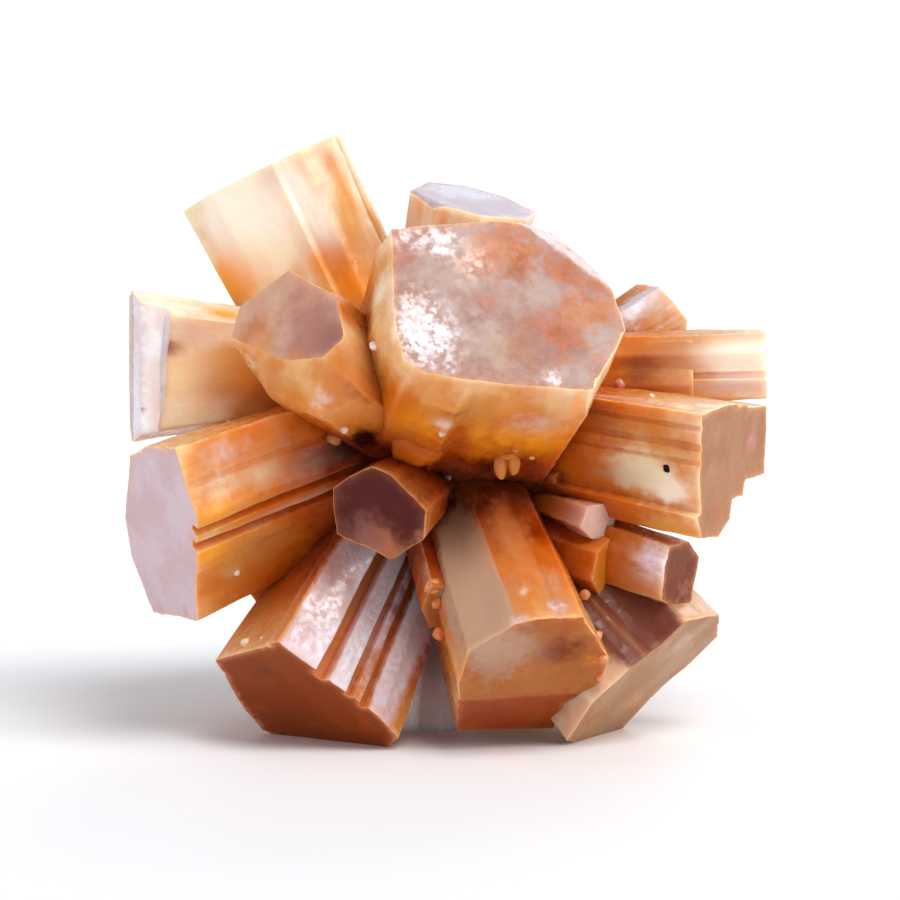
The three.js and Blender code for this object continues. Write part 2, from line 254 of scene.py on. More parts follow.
def complete(shader, colour, roughness, gloss, relief, strength, distance):
    bump = node("Bump", Strength=strength, Distance=distance, Height=relief).outputs[0]
    for socket, value in (("Base Color", colour), ("Roughness", roughness), ("Coat Weight", gloss), ("Normal", bump)):
        fill(shader[socket], value)


side_finish, shader = waxy("aragonite side", 0.8, 0.0035, 0.16)
share, _, groove = kept("growth")
pale, brown, _ = kept("tone")
gloss, edge, _ = kept("shine")
mark_colours = attribute("stain")
bands = placed(fibres, Across=0.16, Lengthwise=0.02)
streaks = placed(fibres, Across=0.55, Lengthwise=0.1)
threads = placed(fibres, Across=1.6, Lengthwise=0.03)
clouds = placed(stain, Patch=6.0)
blush = placed(stain, Patch=4.2, Shift=2.9)
flecks = placed(stain, Patch=1.3, Shift=0.7)
specks = placed(stain, Patch=0.6, Shift=5.1)
outwards = share
for value, middle, swing in ((pale, 0.45, 0.7), (bands, 0.5, 0.12), (threads, 0.5, 0.02), (clouds, 0.6, 0.2)):
    outwards = times(sums("SUBTRACT", value, middle), swing, outwards)
outwards = times(groove, -0.12, outwards, clamp=True)
# From the heart outwards the stone's own rust, orange and cream; the darkest stops at the root are deepened as
# painted shade of the recesses.
from_heart = node("ValToRGB", Fac=outwards)
stops = ((0.0, "5a1402"), (0.12, "963204"), (0.26, "bc5206"), (0.42, "cc6c16"), (0.58, "d6863a"),
         (0.74, "dc9a54"), (0.88, "e6ba86"), (1.0, "eedcbc"))
for at, _ in stops[1:-1]:
    from_heart.color_ramp.elements.new(at)
for element, (_, code) in zip(from_heart.color_ramp.elements, stops):
    element.color = tint(code)
# brown darkens the sides: the stone's own brown, and on the low crystals painted shade as well.
marked = blend(brown, from_heart.outputs["Color"], tint("a07058"), "MULTIPLY")
marked = blend(times(blush, 0.28), marked, tint("c4683c"))
ridge = times(groove, -0.9, 1.0, clamp=True)
torn = times(streaks, 0.3, times(flecks, 0.25, -0.275))
ragged = times(torn, sums("SUBTRACT", 1.15, pale, clamp=True), mark_colours["Alpha"])
marked = blend(times(between(ragged, 0.12, 0.92), ridge), marked, mark_colours["Color"])
glinting = times(gloss, specks)
marked = blend(times(glinting, 0.5, clamp=True), marked, tint("b88470"))
marked = blend(times(groove, 0.65), marked, tint("c0621a"))
wet = times(gloss, times(specks, -1.1, 1.2))
wet = times(between(flecks, 0.7, 1.0), 0.25, wet)
complete(shader, lit_edges_and_recess_shade(marked, edge, flecks, 0.4, 0.05), between(flecks, 0, 1, 0.2, 0.3),
         times(wet, ridge, clamp=True), times(threads, 0.9, times(glinting, 3.0, flecks)), 0.3, 0.00006)

end_finish, shader = waxy("aragonite end face", 0.6, 0.002, 0.1)
_, _, rim = kept("growth")
_, _, grainy = kept("tone")
gloss, edge, wear = kept("shine")
mark_colours = attribute("stain")
patches = placed(stain, Patch=4.4, Shift=1.7)
blotches = placed(stain, Patch=2.0, Shift=3.3)
flecks = placed(stain, Patch=0.8, Shift=0.7)
specks = placed(stain, Patch=0.4, Shift=5.1)
torn = times(sums("SUBTRACT", blotches, 0.5), times(grainy, 0.4, 0.2), mark_colours["Alpha"])
ragged = times(times(sums("SUBTRACT", flecks, 0.5), grainy), 0.7, torn)
marked = blend(between(ragged, 0.12, 0.92), attribute("face")["Color"], mark_colours["Color"])
mottling = times(patches, times(grainy, 0.5, 0.2))
marked = blend(mottling, marked, tint("dca07c"), "MULTIPLY")
speckling = times(flecks, times(grainy, 0.3, -0.12, clamp=True))
marked = blend(speckling, marked, tint("e0d0ce"))
rim_glow = times(between(rim, 0.0, 1.1, 0.5, 0.0), wear)
marked = blend(rim_glow, marked, tint("cc7c3c"))
sparkle = between(times(flecks, 0.55, times(specks, 0.45)), 0.42, 0.78, 0.03, 0.75)
complete(shader, lit_edges_and_recess_shade(marked, edge, flecks, 0.5, 0.2), between(patches, 0, 1, 0.26, 0.36),
         times(gloss, sparkle, clamp=True), times(placed(sugar, Grain=0.55), times(grainy, 1.0, 0.06)), 0.9, 0.00012)

# Colours of the marks, the mesh's fineness and the owner numbers of what isn't a named crystal. Most marks
# are real stains and tones; pearl, satin and snow, and milk on chips and ridges, paint highlights and
# reflections, and the crevice colour 2a0806 paints shade in crevices.
PERIMETER_STEP, ROW_STEP, CAP_STEP = 0.55, 0.95, 0.55
NARROW_SIDE = 1.3
STRIPE_WIDTHS = (0.7, 2.4)
VALLEY = 0.07  # half the gap between two stripes
DARK_ROOT_ENDS = 11.5  # from the growth centre: here the dark root, the stone's rust deepened as painted shade, starts to pale
PALING = 17  # over this much it goes from rust to cream
FACET_EDGE = 0.35  # over this much a facet's own colour sets in
SIDE, END = 0, 1
FIRST_SPROUT, FIRST_KNOB, DARK_GRAIN, FIRST_DRUSE, GROUND = 40, 80, 115, 120, 250
MARK_CODES = dict(
    ember="7a2c08", amber="c4620e", honey="d89a4c", cream="e6d6b4", milk="ddd6de", snow="fcfcff", satin="c8b6ba",
    sun="ffe4b8", resin="cc7a2c", pearl="e8e2ea", ivory="f8eede", plum="b08278", glow="f49c22", blush="d8b0a0",
    rose="bc8474", salmon="c07846", mauve="8c5a50", dun="b8967c", rust="9c4410", umber="55301a", pit="2a0806",
    ink="0e0a0c",
)
MARK_TINTS = {kind: Vector(tint(code)[:3]) for kind, code in MARK_CODES.items()}
SIDE_STAINS = ("amber", "honey", "salmon", "ember", "cream", "rose")
END_STAINS = ("rose", "mauve", "dun", "salmon", "blush")
grown = bpy.data.collections.new("grown")
bpy.context.scene.collection.children.link(grown)


def twin(width, height, turn=0, shares=(1, 1, 1, 1, 1, 1), du=0, dv=0):
    """Corners of a twinned prism from its width and height across the corners."""
    angles = [math.radians(turn + i * 360 / len(shares)) for i in range(len(shares))]
    return [(math.cos(a) * s * width / 2 + du, math.sin(a) * s * height / 2 + dv) for a, s in zip(angles, shares)]


def with_grooves(outline, grooves):
    """The outline with sloping-walled grooves: (edge, place along the edge, width, depth). Each
    point also tells how far down it lies in a groove."""
    points = []
    for edge, (u0, v0) in enumerate(outline):
        u1, v1 = outline[(edge + 1) % len(outline)]
        length = math.hypot(u1 - u0, v1 - v0)
        du, dv = (u1 - u0) / length, (v1 - v0) / length
        points.append((u0, v0, 0))
        for _, place, width, depth in sorted(g for g in grooves if g[0] == edge):
            for along, inward in ((-0.5, 0), (-0.25, depth), (0.25, depth), (0.5, 0)):
                way = place * length + along * width
                points.append((u0 + du * way - dv * inward, v0 + dv * way + du * inward, min(1, inward / 0.9)))
    return points


def crystal_frame(root, tip):
    """The crystal's own axes: w along it, v up (or away, on a steep one) and u to the right of v."""
    w = (tip - root).normalized()
    bearing = Vector((0, 0, 1)) if abs(w.z) < 0.8 else Vector((0, math.copysign(1, w.z), 0))
    v = (bearing - w * bearing.dot(w)).normalized()
    u = v.cross(w)
    return Matrix(((u.x, v.x, w.x, root.x), (u.y, v.y, w.y, root.y), (u.z, v.z, w.z, root.z), (0, 0, 0, 1)))


def striped_perimeter(outline, line, chance):
    """Points round a prism: place, outward way, growth stripe, how far the worn edge of the end may
    reach in, how strongly the spot is lit with painted edge highlight and whether it is in a groove.
    Wide faces carry stripes."""
    flat = (0, 0, 0, 0)
    points = []
    for i in range(len(outline)):
        (*a, sunk), (*b, _), (*c, _) = outline[i], outline[(i + 1) % len(outline)], outline[i - 1]
        a = Vector(a)
        before, way = a - Vector(c), Vector(b) - a
        length = way.length
        way.normalize()
        out = Vector((way.y, -way.x))
        narrow = length < NARROW_SIDE
        worn = 0.1 if narrow or before.length < NARROW_SIDE else 0.14
        if not narrow and before.length > NARROW_SIDE and before.cross(way) > 0:
            edge_highlight = min(1.0, max(0.0, (before.normalized().cross(way) - 0.5) * 1.6))
            start = 0.1 + 0.12 * chance.random()
            for corner in (a - before.normalized() * start, a + way * start):
                points.append((corner, out, flat, worn, edge_highlight, 0))
        else:
            start = 0
            corner_out = (out + Vector((before.y, -before.x)).normalized()).normalized()
            points.append((a, corner_out, flat, worn if max(length, before.length) > 0.9 else 0.09, 0, sunk))
        if narrow:
            continue
        spots = [start]
        while spots[-1] < length - 1.2:
            spots.append(spots[-1] + chance.uniform(*STRIPE_WIDTHS))
        if spots[-1] > length - 0.6:
            spots.pop()
        left = start + 0.12
        for right in spots[1:] + [length - 0.25]:
            stripe = (line * chance.uniform(-1.3, 0.5), line * chance.uniform(0.1, 0.6),
                      chance.uniform(0.15, 0.5), chance.uniform(0, 6.3))
            span = right - VALLEY - left
            if span > 0.1:
                pieces = max(1, round(span / PERIMETER_STEP))
                for k in range(pieces + 1):
                    points.append((a + way * (left + span * k / pieces), out, stripe, 0.16, 0, 0))
                left = right + VALLEY
    return points


def sides_of(ring):
    return zip(ring[-1:] + ring, ring)


def inside_distance(point, ring):
    """How far a point lies from the nearest side of a ring."""
    best = math.inf
    for a, b in sides_of(ring):
        ab = b - a
        t = max(0.0, min(1.0, (point - a).dot(ab) / max(ab.length_squared, 1e-9)))
        best = min(best, (point - a - ab * t).length)
    return best


def is_inside(point, ring):
    odd = False
    for a, b in sides_of(ring):
        if (a.y > point.y) != (b.y > point.y) and point.x < (b.x - a.x) * (point.y - a.y) / (b.y - a.y) + a.x:
            odd = not odd
    return odd


def reach_along(way, ring):
    """Distance from the middle to the ring along a direction."""
    best = 0
    for a, b in sides_of(ring):
        side = b - a
        turn = way.x * side.y - way.y * side.x
        if abs(turn) > 1e-9:
            far = (a.x * side.y - a.y * side.x) / turn
            part = (a.x * way.y - a.y * way.x) / turn
            if far > 0 and -1e-6 <= part <= 1 + 1e-6:
                best = max(best, far)
    return best


def crossings(ring):
    """Points of a ring at whose following side the ring crosses itself."""
    a = np.array([(p.x, p.y) for p in ring])
    b = np.roll(a, -1, axis=0)

    def side(p, q, r):
        return (q[..., 0] - p[..., 0]) * (r[..., 1] - p[..., 1]) - (q[..., 1] - p[..., 1]) * (r[..., 0] - p[..., 0])

    p, q, r, s = a[:, None], b[:, None], a[None], b[None]
    crossed = (side(p, q, r) * side(p, q, s) < 0) & (side(r, s, p) * side(r, s, q) < 0)
    return sorted(set(np.nonzero(crossed)[0]))


def worn_rim(ring, seed, chance):
    """How far the worn edge of the end reaches in at each point, with a few deeper nicks."""
    count = len(ring)
    nicks = [(chance.randrange(count), chance.uniform(0.15, 0.4)) for _ in range(count // 40)]
    worn = []
    for k in range(count):
        reach = ring[k][3] * (0.4 + 0.6 * abs(noise.noise(Vector((k * 0.23, seed, 0)))))
        if ring[k][3] > 0.12:
            for spot, depth in nicks:
                gap = min((k - spot) % count, (spot - k) % count)
                if gap < 2:
                    reach = max(reach, depth * (1 - gap / 2))
        worn.append(reach)
    return [min(worn[k], 0.35 + 0.5 * (worn[k - 1] + worn[(k + 1) % count]) / 2) for k in range(count)]


def end_points(edge, step, chance):
    """Points spread over an end face, each with its distance from the rim."""
    low_u, high_u = min(p.x for p in edge), max(p.x for p in edge)
    v, high_v = min(p.y for p in edge), max(p.y for p in edge)
    inner, row = [], 0
    while v < high_v:
        u = low_u + (0.5 * step if row % 2 else 0)
        while u < high_u:
            p = Vector((u + chance.uniform(-0.12, 0.12), v + chance.uniform(-0.12, 0.12)))
            if is_inside(p, edge):
                gap = inside_distance(p, edge)
                if gap > 0.45 * step:
                    inner.append((p, gap))
            u += step
        v += step * 0.87
        row += 1
    return inner


def end_relief(point, inside, seed, grain, ledge):
    """Height of the end face over its plane: growth plates with low ledges, and fine grain."""
    p = Vector((point.x, point.y, seed * 7.3))
    fade = min(1.0, inside / 0.7)
    plates = noise.noise(p * 0.28) + 0.35 * noise.noise(p * 0.9)
    stepped = math.floor(plates * 4) / 4
    rough = noise.noise(p * 1.1) + 0.7 * noise.noise(p * 2.3)
    return fade * (ledge * stepped + grain * rough) - 0.05 * min(1.0, inside / 3)


def guessed_marks(name, ring, top):
    """Marks for a crystal that is given none: four on its sides, then three and a glint on its end."""
    guess = random.Random(name + " stains")
    spots = []
    for i in range(7):
        on_side = i < 4
        spot = ring[guess.randrange(len(ring))][0] * (0.9 if on_side else guess.uniform(0.3, 0.95))
        kind = guess.choice(SIDE_STAINS if on_side else END_STAINS)
        reach = guess.uniform(1.5, 6) if on_side else 0
        middle = Vector((spot.x, spot.y, top * guess.uniform(0.55, 1) if on_side else top))
        spots.append((kind, middle, guess.uniform(1.2, 3), reach, guess.uniform(0.4, 1)))
    return spots + [("pearl", middle, 2.4, 0, 0.4), ("gloss", middle, 2.8, 0, 0.9)]


def mark_colour_at(p, w, out, spots, on_end, facet, cut_in):
    """Colour, cover and gloss that the marks and a facet of the rim give one point of a side or end."""
    colour, cover, gloss = Vector((0, 0, 0)), 0.0, 0.0
    for kind, middle, width, reach, amount, *facing in spots:
        if on_end == bool(reach):
            continue
        gap = ((p.x - middle.x) ** 2 + (p.y - middle.y) ** 2) / width ** 2
        gap += ((w - middle.z) / reach) ** 2 if reach else 0
        here = amount * math.exp(-gap)
        if facing and out:
            way = math.radians(facing[0])
            here *= min(1, max(0, (out.dot((math.cos(way), math.sin(way))) - 0.75) * 6))
        if kind == "gloss":
            gloss += here
        else:
            colour += MARK_TINTS[kind] * here
            cover += here
    if facet:
        colour += MARK_TINTS[facet] * 3 * cut_in
        cover += 3 * cut_in
        gloss += 0.6 * cut_in if facet == "pearl" else 0
    return (*(colour / max(cover, 1e-6)), min(1.0, cover)), gloss


def corner_points(mesh):
    corners = np.empty(len(mesh.loops), np.int32)
    mesh.loops.foreach_get("vertex_index", corners)
    return corners


def keep(mesh, name, values, domain="CORNER"):
    """Keeps vectors or colours on the mesh for the finishes."""
    kind, field = ("FLOAT_VECTOR", "vector") if values.shape[1] == 3 else ("FLOAT_COLOR", "color")
    mesh.attributes.new(name, kind, domain).data.foreach_set(field, values.astype(np.float32).ravel())


def add_solid(name, owner, places, faces, kinds, along, share, rim, tone, face, mark_colours, shine):
    """Adds one closed solid, with what the finish needs kept on its face corners."""
    mesh = bpy.data.meshes.new(name)
    mesh.from_pydata([p * MM for p in places], [], faces)
    mesh.materials.append(side_finish)
    mesh.materials.append(end_finish)
    mesh.polygons.foreach_set("material_index", kinds)
    corners = corner_points(mesh)
    on_end = (np.repeat(kinds, [len(f) for f in faces]) == END)[:, None]
    mark_colours, shine = np.array(mark_colours)[corners], np.array(shine)[corners]
    keep(mesh, "along", np.array(along)[corners])
    keep(mesh, "growth", np.array([(s, 0, r) for s, r in zip(share, rim)])[corners])
    keep(mesh, "tone", np.tile(tone, (len(corners), 1)))
    keep(mesh, "face", np.tile(tint(face), (len(corners), 1)))
    keep(mesh, "stain", np.where(on_end, mark_colours[:, 4:], mark_colours[:, :4]))
    keep(mesh, "shine", np.where(on_end, shine[:, 1:], shine[:, [0, 2, 3]]))
    owners = mesh.attributes.new("owner", "INT", "FACE")
    owners.data.foreach_set("value", np.full(len(faces), owner, np.int32))
    solid = bpy.data.objects.new(name, mesh)
    grown.objects.link(solid)
    return solid


def add_bare(name, owner, body, origin, share, rim, tone, stain=(0, 0, 0, 0), gloss=0):
    """Adds a solid of one colour from a bmesh, and frees it."""
    bmesh.ops.triangulate(body, faces=body.faces)
    bmesh.ops.recalc_face_normals(body, faces=body.faces)
    body.verts.index_update()
    places = [v.co.copy() for v in body.verts]
    faces = [tuple(v.index for v in f.verts) for f in body.faces]
    body.free()
    count = len(places)
    return add_solid(name, owner, [p + origin for p in places], faces, [SIDE] * len(faces),
                     [tuple(p) for p in places], [share] * count, [rim] * count, tone, "c89478",
                     [(*stain, *stain)] * count, [(gloss, gloss, 0, 0)] * count)


def grow_prism(
    name, owner, root, tip, root_share, outline, grooves=(), short=0, slope=(0, 0), chips=(), shoulder=None,
    pale=0.5, brown=0.2, face="c89478", line=0.05, grain=0.02, ledge=0.03, rough=0.3, wear=0.4,
    row_step=ROW_STEP, cap_step=CAP_STEP, **marks,
):
    """One prism. root_share is its girth at the root; its end lies short of the tip and leans by slope.
    chips are facets of the rim: direction, distance from the middle, angle and colour. shoulder is the
    narrower outline of the end and how far down it narrows. pale and brown tint the sides; brown is the
    stone's own brown and on the low crystals also painted shade. face is the end's colour, darkened as
    painted shade on the low crystals. line is the height of the stripes, grain and ledge of the end's
    relief; rough is how grainy the end looks, and the edge light how strongly the edges and the end's rim
    are lit with painted highlight and glow. marks are soft spots by colour, real stains and some painted
    highlights and shade: place from the growth centre, width, length along the crystal (0 for one on the
    end), amount, and for a single side the way in degrees that it faces."""
    chance = random.Random(name)
    seed = owner + 0.37 * short
    root, tip = Vector(root), Vector(tip)
    place = crystal_frame(root, tip)
    length = (tip - root).length
    top = length - short
    ring = striped_perimeter(with_grooves(outline, grooves), line, chance)
    count = len(ring)
    worn = worn_rim(ring, seed, chance)
    if shoulder:
        end_ring = [Vector(p) for p in shoulder[0]]
        narrowing = [reach_along(spot.normalized(), end_ring) / spot.length for spot, *_ in ring]
        shoulder_at = top - shoulder[1]

    def ring_point(k, w, inset):
        spot, out, (base, swing, rate, phase), *_ = ring[k]
        stripe = base + swing * math.sin(rate * w + phase)
        wave = 0.2 * noise.noise(Vector((spot.x * 0.3, spot.y * 0.3, w * 0.16 + seed * 5)))
        wave += 0.09 * noise.noise(Vector((spot.x * 0.8, spot.y * 0.8, w * 0.5 + seed * 3)))
        girth = root_share + (1 - root_share) * min(max(w / length, 0), 1)
        p = (spot + out * (stripe + wave - inset)) * girth
        if shoulder and w > shoulder_at:
            p *= 1 + (narrowing[k] - 1) * ((w - shoulder_at) / (top - shoulder_at)) ** 1.25
        return p

    for _ in range(8):
        crossed = crossings([ring_point(k, top, worn[k]) for k in range(count)])
        for k in crossed:
            for near in range(k - 2, k + 4):
                worn[near % count] *= 0.6
        if not crossed:
            break

    first, last_row = 0.32 * length, top - 0.6
    steps = max(2, round((last_row - first) / row_step))
    rows = [0.0, 0.16 * length] + [first + (last_row - first) * j / steps for j in range(steps + 1)]
    spots = [(kind, place.inverted() @ Vector(mark[:3]), *mark[3:]) for kind, group in marks.items()
             for mark in group]
    if not marks and owner < FIRST_DRUSE:
        spots = guessed_marks(name, ring, top)
    places, along, share, rim, mark_colours, shine = [], [], [], [], [], []

    def add_vertex(p, w, lower, rim_gap, edge_highlight=0.0, out=None):
        w_here = w + (slope[0] * p.x + slope[1] * p.y) * min(1, max(0, w / top))
        facet, cut_in = None, 0.0
        for direction, start, angle, *own in chips:
            a, b = math.radians(direction), math.radians(angle)
            beyond = (p.x - math.cos(a) * start) * math.cos(a) + (p.y - math.sin(a) * start) * math.sin(a)
            plane = length - beyond * math.tan(b) - 0.02 * lower
            if plane < w_here:
                cut_in = min(1.0, (w_here - plane) / FACET_EDGE)
                w_here = plane
                facet = own[0] if own and lower < 3 else None
        spot = place @ Vector((p.x, p.y, w_here))
        places.append(spot + HEART)
        along.append((p.x + 31.7 * owner, p.y + 17.3 * owner, w_here))
        share.append((spot.length - DARK_ROOT_ENDS) / max(6.0, tip.length - DARK_ROOT_ENDS))
        rim.append(rim_gap)
        on_side, side_gloss = mark_colour_at(p, w_here, out, spots, False, facet, cut_in)
        on_end, end_gloss = mark_colour_at(p, w_here, out, spots, True, facet, cut_in)
        mark_colours.append((*on_side, *on_end))
        shine.append((side_gloss, end_gloss, edge_highlight * wear, wear))

    for j, w in enumerate(rows):
        for k in range(count):
            add_vertex(ring_point(k, w, 0), w, len(rows) - j + 2, float(ring[k][5]), ring[k][4], ring[k][1])
    for lower, (drop, inset) in ((2, (1, 0)), (1, (0.3, 0.4)), (0, (0, 1))):
        for k in range(count):
            add_vertex(ring_point(k, top - worn[k] * drop, worn[k] * inset), top - worn[k] * drop, lower,
                       float(ring[k][5]) if lower else 0, 0.8 if lower < 2 else ring[k][4], ring[k][1])
    faces, kinds = [], []
    levels = len(rows) + 3
    last = (levels - 1) * count
    for low in range(0, last, count):
        for k in range(count):
            a, b = low + k, low + (k + 1) % count
            faces += [(a, b, b + count), (a, b + count, a + count)]
            kinds += [SIDE, SIDE]
    faces.append(tuple(reversed(range(count))))
    kinds.append(SIDE)

    edge = [ring_point(k, top, worn[k]) for k in range(count)]
    inner = end_points(edge, cap_step, chance)
    made, _, triangles, origins, _, _ = delaunay_2d_cdt(
        edge + [p for p, _ in inner], [], [list(range(count))], 1, 1e-5)
    for p, gap in inner:
        add_vertex(p, top + end_relief(p, gap, seed, grain, ledge), 0, min(4, gap))
    index = {new: last + old[0] for new, old in enumerate(origins) if old}
    for a, b, c in triangles:
        if a in index and b in index and c in index:
            turn = (made[b] - made[a]).cross(made[c] - made[a])
            faces.append((index[a], index[b], index[c]) if turn > 0 else (index[a], index[c], index[b]))
            kinds.append(END)
    add_solid(name, owner, places, faces, kinds, along, share, rim, (pale, brown, rough), face, mark_colours, shine)


def grow(owner, name, tip, *blades, root=(0, 0, 0), root_share=0.72, **looks):
    """A crystal of one or more parallel prisms. root and tip are places from the growth centre, and each
    blade's outline runs round its end as (right, up) of the crystal's axis, seen from outside."""
    for i, blade in enumerate(blades):
        grow_prism(f"{name}_{i + 1}", owner, root, tip, root_share, **{**looks, **blade})


# Towards the viewer.
# The pearl marks and the milk chip on the crown's end are painted highlights and sparkle; the glow marks on its
# underside are its own orange brightened as painted light.
grow(1, "crown", (5, -24.7, 15.1), dict(outline=[(-11.8, 0.5), (-10, -6.2), (-5, -8.6), (-3.6, -8), (-0.5, -8.8),
    (7.4, -9.4), (11.4, -2.4), (10.2, 4.2), (6, 9.2), (-1, 9.3), (-10.4, 8.6)], shoulder=([(-10.4, 0), (-10, -4.8),
    (-8.4, -6.3), (-0.5, -7.6), (7.2, -8.3), (11.1, -2.1), (10, 4.2), (6, 9), (-1, 9.2), (-9.6, 8.6)], 3.5),
    chips=[(48, 8.3, 40, "milk")]), root=(-1, 0, 0), root_share=0.86, pale=0.2, brown=0.05, face="b49a90",
    line=0.008, grain=0.05, ledge=0.06, rough=0.8,
    pearl=[(-2.6, -27.7, 13.2, 2.6, 0, 1), (-3.4, -26, 16.2, 1.5, 0, 0.6), (-3.8, -22.7, 21.9, 1.3, 0, 0.9),
    (-0.9, -22.1, 21.7, 1.5, 0, 0.8), (9.2, -27.4, 9, 0.7, 0, 0.9), (-0.6, -24.4, 4.3, 0.9, 0.8, 0.9)],
    gloss=[(-2.6, -27.7, 13.2, 3, 0, 1.4), (-3.8, -22.7, 21.9, 1.3, 0, 1.2), (-0.9, -22.1, 21.7, 1.5, 0, 1.2),
    (2.4, -22.8, 19.2, 1.4, 0, 0.9), (9.2, -27.4, 9, 0.9, 0, 1.2), (-0.1, -28.8, 10, 0.5, 0, 1.4),
    (-0.6, -24.4, 4.3, 0.9, 0.8, 1)], rose=[(-3.8, -23.8, 19.9, 1.3, 0, 0.8), (3.3, -24.7, 15.8, 0.9, 0, 0.7),
    (9, -24.2, 14.2, 1.6, 0, 0.4)], blush=[(2.4, -22.8, 19.2, 2, 0, 0.6), (7.9, -24.1, 5.2, 2.6, 2.4, 0.55)],
    salmon=[(5.2, -21.4, 20.5, 3, 0, 1.1), (9.9, -24.9, 12.8, 2.6, 0, 0.7), (12.8, -22.8, 15.1, 2.4, 0, 1),
    (10.9, -21.1, 18.7, 2, 0, 0.7)], umber=[(5.4, -22.5, 18.5, 1.5, 0, 0.3)],
    mauve=[(1.5, -25.7, 14.9, 1.8, 0, 0.4)], dun=[(5.4, -27.2, 10.9, 2.4, 0, 0.8)],
    cream=[(-6.4, -22.9, 16.4, 1.8, 5, 0.8)], amber=[(-5.2, -24.2, 6.6, 2.6, 4, 0.9), (2.9, -17.4, 1.5, 3, 2, 0.6),
    (9.4, -17.6, 1.7, 1.8, 3, 0.6)], glow=[(-2.8, -22.7, 4.6, 2.5, 3, 0.5), (4.8, -20.9, 3.4, 4, 3, 0.6),
    (9.1, -20.2, 3.1, 2, 3, 0.5), (11.3, -24.7, 6.5, 1, 3, 0.7)], ember=[(0.4, -26.1, 5.6, 1.8, 1, 0.5)],
    honey=[(2.3, -25.4, 6.8, 2.6, 2.4, 0.4)])
# The dark mark at its root is painted shade in the crevice there, and the pearl mark a painted highlight.
grow(2, "leftFace", (-14.7, -18.7, 14.3), dict(outline=[(-7.6, 1.6), (-7.6, -2.6), (-1.9, -7.2), (5, -8.8),
    (8.8, -5.8), (7.6, -1), (3.2, 3.6), (-4.4, 5.4)], shoulder=([(-6.4, 0.6), (-6, -2.7), (1, -4.7), (5.6, -4.2),
    (7.3, -2), (5, 1.8), (-2.2, 4.6)], 3.2)), root_share=0.8, pale=0.12, wear=0.1, brown=0.1, face="cca690",
    line=0.008, grain=0.015, ledge=0.02, rough=0.15,
    plum=[(-12.3, -21.6, 12.8, 3.2, 0, 1.1)], mauve=[(-10.7, -23.1, 12.6, 1.2, 0, 0.7)],
    rose=[(-13.8, -18, 16.1, 2.4, 0, 0.6)], salmon=[(-18.4, -17.1, 12.6, 2, 0, 0.7),
    (-15.9, -18.2, 6.9, 1.2, 4, 0.5)], honey=[(-16.8, -17.5, 10.2, 1.8, 0, 0.55), (-12.9, -20.4, 9.2, 1.2, 0, 0.5),
    (-14.3, -18.7, 8.1, 2.4, 3, 0.4)], cream=[(-17.9, -15.4, 8.8, 1.5, 2, 0.5)],
    pearl=[(-11.5, -21.8, 6.5, 1.2, 1.6, 1.3)], amber=[(-9.5, -21.7, 9.7, 1.3, 3, 0.7),
    (-9, -20.4, 13.9, 1, 4, 0.6)], ember=[(-8.7, -23.4, 7, 1.3, 3, 0.35)], pit=[(-8, -18.6, 2.7, 1.5, 2, 1.3)],
    blush=[(-18, -17.9, 12, 1, 0, 0.6), (-17.8, -16.5, 10.6, 1.2, 2, 0.5)])
# The heart crystal's end sits in a recess: its dark face and strong brown are its own colour deepened as painted
# shade.
grow(3, "heart", (-6.7, -21.4, -3.1), dict(outline=[(-2.8, 2.7), (-4.3, 1.5), (-4.1, -2.9), (-1.6, -3.8), (1.1, -5),
    (4.3, -3), (4.8, -0.3), (1.5, 3), (-0.4, 3.6)]), pale=0.1, wear=0.12, brown=0.6, face="58221e", line=0.015,
    grain=0.02, ledge=0.04, rough=0.2,
    mauve=[(-7.2, -20.7, -6.5, 2.2, 0, 0.8), (-10.1, -20.4, -2.4, 1, 0, 0.35), (-8.1, -20.7, -5.1, 2, 0, 0.3)],
    salmon=[(-5.5, -21.2, -7, 1.6, 0, 0.5)], rose=[(-2.8, -22.2, -5.7, 0.9, 0, 0.4)],
    ember=[(-2.9, -20.5, -1.9, 3, 5, 0.5)])
# The dark mark at its root is painted shade in the crevice there.
grow(4, "leftLower", (-27.1, -13.7, -6.4), dict(outline=[(-8.3, 0.6), (-9.6, -3.6), (-8.3, -9.2), (2.7, -8.5),
    (10.3, 2.5), (10, 9.3), (2.5, 8.7), (-2.1, 7.3)], grooves=[(3, 0.7, 1.3, 0.9), (3, 0.86, 1.2, 0.9),
    (4, 0.45, 0.9, 0.12), (5, 0.4, 1, 0.2)]), root=(0, 0, 3), root_share=0.78, pale=0.15, brown=0, face="cdb6bd",
    line=0.03, grain=0.01, ledge=0.01, rough=0.1,
    pit=[(-9.2, -15.6, 1.7, 1.6, 3, 1)], blush=[(-20.9, -21.5, 1.7, 2.2, 3, 0.5), (-17.3, -16.4, -4.8, 0.5, 6, 0.8),
    (-14.5, -16, -3.5, 0.5, 4, 0.7)], cream=[(-21.5, -22.1, -1.3, 1.6, 2, 0.45), (-17.4, -19.6, -0.2, 1, 1.6, 0.35),
    (-20.1, -15.8, -10.1, 0.5, 0.6, 0.8)], salmon=[(-16.2, -18.9, 0.5, 2.4, 4, 0.6),
    (-17.9, -15.7, -7.6, 2.2, 3, 0.5)], rose=[(-12.9, -17, 0.1, 1.6, 3, 0.5), (-24.9, -12.9, -13.8, 0.9, 0, 0.6)],
    amber=[(-16.8, -17.6, -3.3, 1, 5, 0.8), (-13.5, -15.8, -2.4, 1, 4, 0.9), (-20.3, -14.8, -11.2, 2.6, 3.5, 0.5),
    (-14.8, -12.6, -8, 2.6, 4, 0.8)], glow=[(-21.4, -22, -3.6, 1.4, 2.6, 0.7), (-22.4, -19.4, -7.7, 1.3, 2.4, 0.7)],
    honey=[(-19.7, -16.5, -8.5, 2.6, 4, 0.5)])
